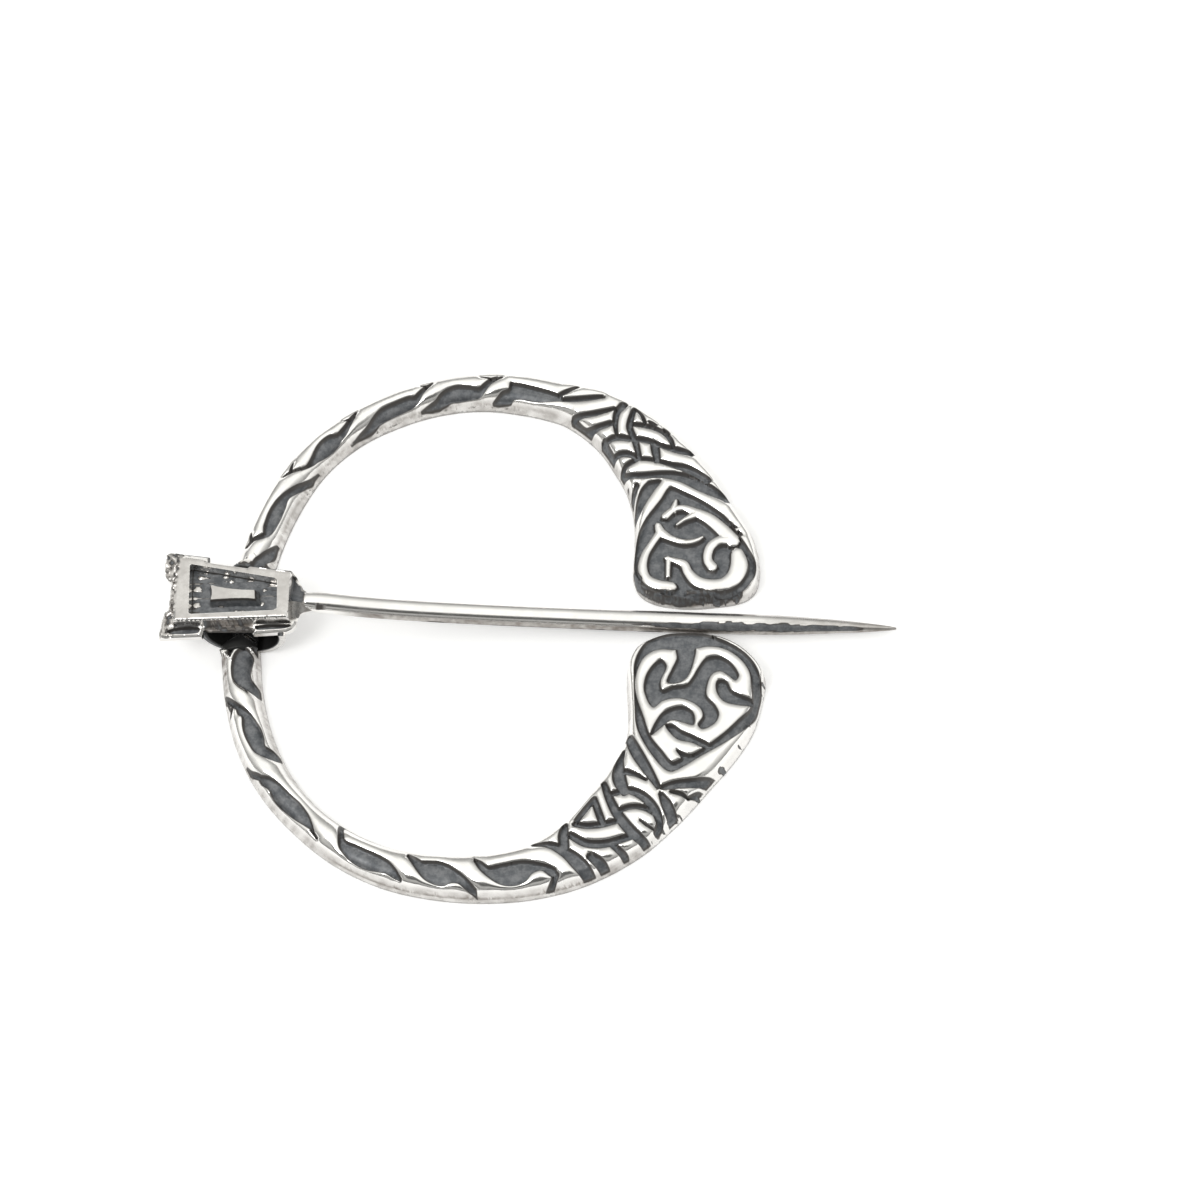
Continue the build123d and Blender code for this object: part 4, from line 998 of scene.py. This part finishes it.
def shank():
    """Shank from the flare to the tip, round all along and tapered at its end."""
    line = smooth(SHANK, 0.25)
    run = np.gradient(line, axis=0)
    round_count = 40
    points = []
    for (along, rise, share), step in zip(line, run):
        up = Vector((-step[1], 0, step[0])).normalized()
        for angle in np.linspace(0, 2 * np.pi, round_count, endpoint=False):
            offset = up * (SHANK_RADIUS * share * np.cos(angle))
            side = SHANK_RADIUS * share * np.sin(angle)
            points.append((along + offset.x - NECK_RADIUS, side, rise + offset.z))
    along = np.repeat(line[:, 0], round_count)
    turned = np.tile(np.degrees(np.linspace(0, 2 * np.pi, round_count, endpoint=False)), len(line))
    lean = (360 - turned) % 360
    lean = np.where(lean > 180, lean - 360, lean)
    patchy_noise = fractal_noise(along * 0.7, lean * 0.06, 1.0, 0.8, 3)
    # Painted shade: a dark streak along the front of the shank growing towards the tip, dark at its root by
    # the head, and a dark line along the lower edge
    streak = ease((3 + 27 * ease((along - 25) / 8) - np.abs(lean - 42) + 11 * patchy_noise) / 8)
    streak *= between(along, 22, 43.8, 3, 2)
    lower = ease((lean - 88 + 24 * patchy_noise) / 8) * between(along, 9, 33, 4, 4)
    root = ease((30 - np.abs(lean - 50) + 26 * patchy_noise) / 18)
    root *= between(along, 4.6, 7.6, 0.7, 2.6)
    streak = np.maximum(streak, 0.8 * root)
    # Painted shade: the underside is made dull
    under = 0.7 * ease((lean - 50) / 12) * ease((along - 6) / 3)
    dullness_and_shade = 0.5 * ease((along - 32) / 10) + 0.25 * np.clip(patchy_noise, 0, 1) * ease((along - 28) / 4)
    marks = {"hollow": -0.3 + 0.42 * np.maximum(streak, 0.7 * lower), "dullness_and_shade": np.maximum(dullness_and_shade, under)}
    return mesh_object("shank", points, tube_faces(len(line), round_count, True), pin_silver, marks)


pin = joined("pin_dressed", [head(), strap(), shank()])
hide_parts("pin")
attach(pin, "pin")
for piece in (hoop, pin):
    print(piece.name, sum(len(face.vertices) - 2 for face in piece.data.polygons), "triangles")

# Floor
bpy.ops.mesh.primitive_plane_add(size=1.2, location=(0, 0, -0.00002))
floor = bpy.context.object
floor.name = "floor"
floor_paint = bpy.data.materials.new("floor_paint")
floor_paint.use_nodes = True
for socket, value in (("Base Color", (0.92, 0.92, 0.92, 1)), ("Roughness", 0.9),
                      ("Emission Color", (1, 1, 1, 1)), ("Emission Strength", 0.3)):
    floor_paint.node_tree.nodes["Principled BSDF"].inputs[socket].default_value = value
floor.data.materials.append(floor_paint)


# Key light in metres and watts
KEY_PLACE = (-0.14, -0.12, 0.3)
KEY_SIZE = 0.12
KEY_POWER = 0.3
# Stops by height above the horizon, the two ends first: height, brightness
SKY_STOPS = [(0.0, 0.22), (1.0, 1.0), (0.15, 0.32), (0.38, 0.46), (0.58, 0.64), (0.76, 0.86), (0.88, 1.0)]
SHADE_STOPS = [
    (0.0, 0.75), (1.0, 0.0), (0.1, 0.75), (0.16, 0.15), (0.46, 0.2), (0.56, 1.0), (0.84, 1.0), (0.92, 0.0),
]


def world_light():
    """Studio surroundings: white overhead, at the back and at the sides, dark in front above the horizon."""
    world = bpy.data.worlds.new("studio")
    bpy.context.scene.world = world
    world.use_nodes = True
    nodes, links = world.node_tree.nodes, world.node_tree.links
    place = nodes.new("ShaderNodeTexCoord")
    parts = nodes.new("ShaderNodeSeparateXYZ")
    links.new(place.outputs["Generated"], parts.inputs["Vector"])

    def worked(kind, *values):
        return math_node(world.node_tree, kind, values)

    def ramp(value, stops):
        node = nodes.new("ShaderNodeValToRGB")
        links.new(value, node.inputs["Fac"])
        elements = node.color_ramp.elements
        for number, (position, grey) in enumerate(stops):
            stop = elements[number] if number < 2 else elements.new(position)
            stop.position = position
            stop.color = (grey, grey, grey * 0.985, 1)
        return node.outputs["Color"]

    up = parts.outputs["Z"]
    sky = ramp(up, SKY_STOPS)
    flat = worked("MULTIPLY_ADD", worked("MULTIPLY", up, up), -1.0, 1.0)
    flat = worked("SQRT", worked("MAXIMUM", flat, 0.0004))
    front = worked("MULTIPLY", worked("DIVIDE", parts.outputs["Y"], flat), -1.0)
    towards_front = ramp(front, [(0.35, 0.0), (0.75, 1.0)])
    height = ramp(up, SHADE_STOPS)
    shade = ramp(worked("MULTIPLY", towards_front, height), [(0.0, 1.0), (1.0, 0.12)])
    both = mix_node(world.node_tree, (sky, shade), blend="MULTIPLY")
    links.new(both, nodes["Background"].inputs["Color"])
    nodes["Background"].inputs["Strength"].default_value = 1.2


def key_light():
    """A square soft light aimed at the brooch."""
    data = bpy.data.lights.new("key", "AREA")
    data.size = KEY_SIZE
    data.energy = KEY_POWER
    made = bpy.data.objects.new("key", data)
    made.location = KEY_PLACE
    made.rotation_euler = (-Vector(KEY_PLACE)).to_track_quat("-Z", "Y").to_euler()
    bpy.context.scene.collection.objects.link(made)


world_light()
key_light()


# Camera, in chart units about the ring centre
CAMERA_PLACE = (20.96, -73.86, 162.64)
CAMERA_VIEW = (-0.0810, 0.4212, -0.9034)
CAMERA_UP = (-0.0197, 0.9055, 0.4239)
CAMERA_LENS = 77.83


def camera():
    """The photograph's camera."""
    view = Vector(CAMERA_VIEW).normalized()
    side = view.cross(Vector(CAMERA_UP)).normalized()
    up = side.cross(view)
    data = bpy.data.cameras.new("camera")
    data.sensor_width = 36.0
    data.lens = CAMERA_LENS
    data.clip_start = 0.001
    made = bpy.data.objects.new("camera", data)
    turn = Matrix((side, up, -view)).transposed().to_4x4()
    made.matrix_world = Matrix.Translation(Vector(CAMERA_PLACE) * unit + centre) @ turn
    bpy.context.scene.collection.objects.link(made)
    bpy.context.scene.camera = made


camera()
bpy.context.scene.view_settings.view_transform = "Standard"
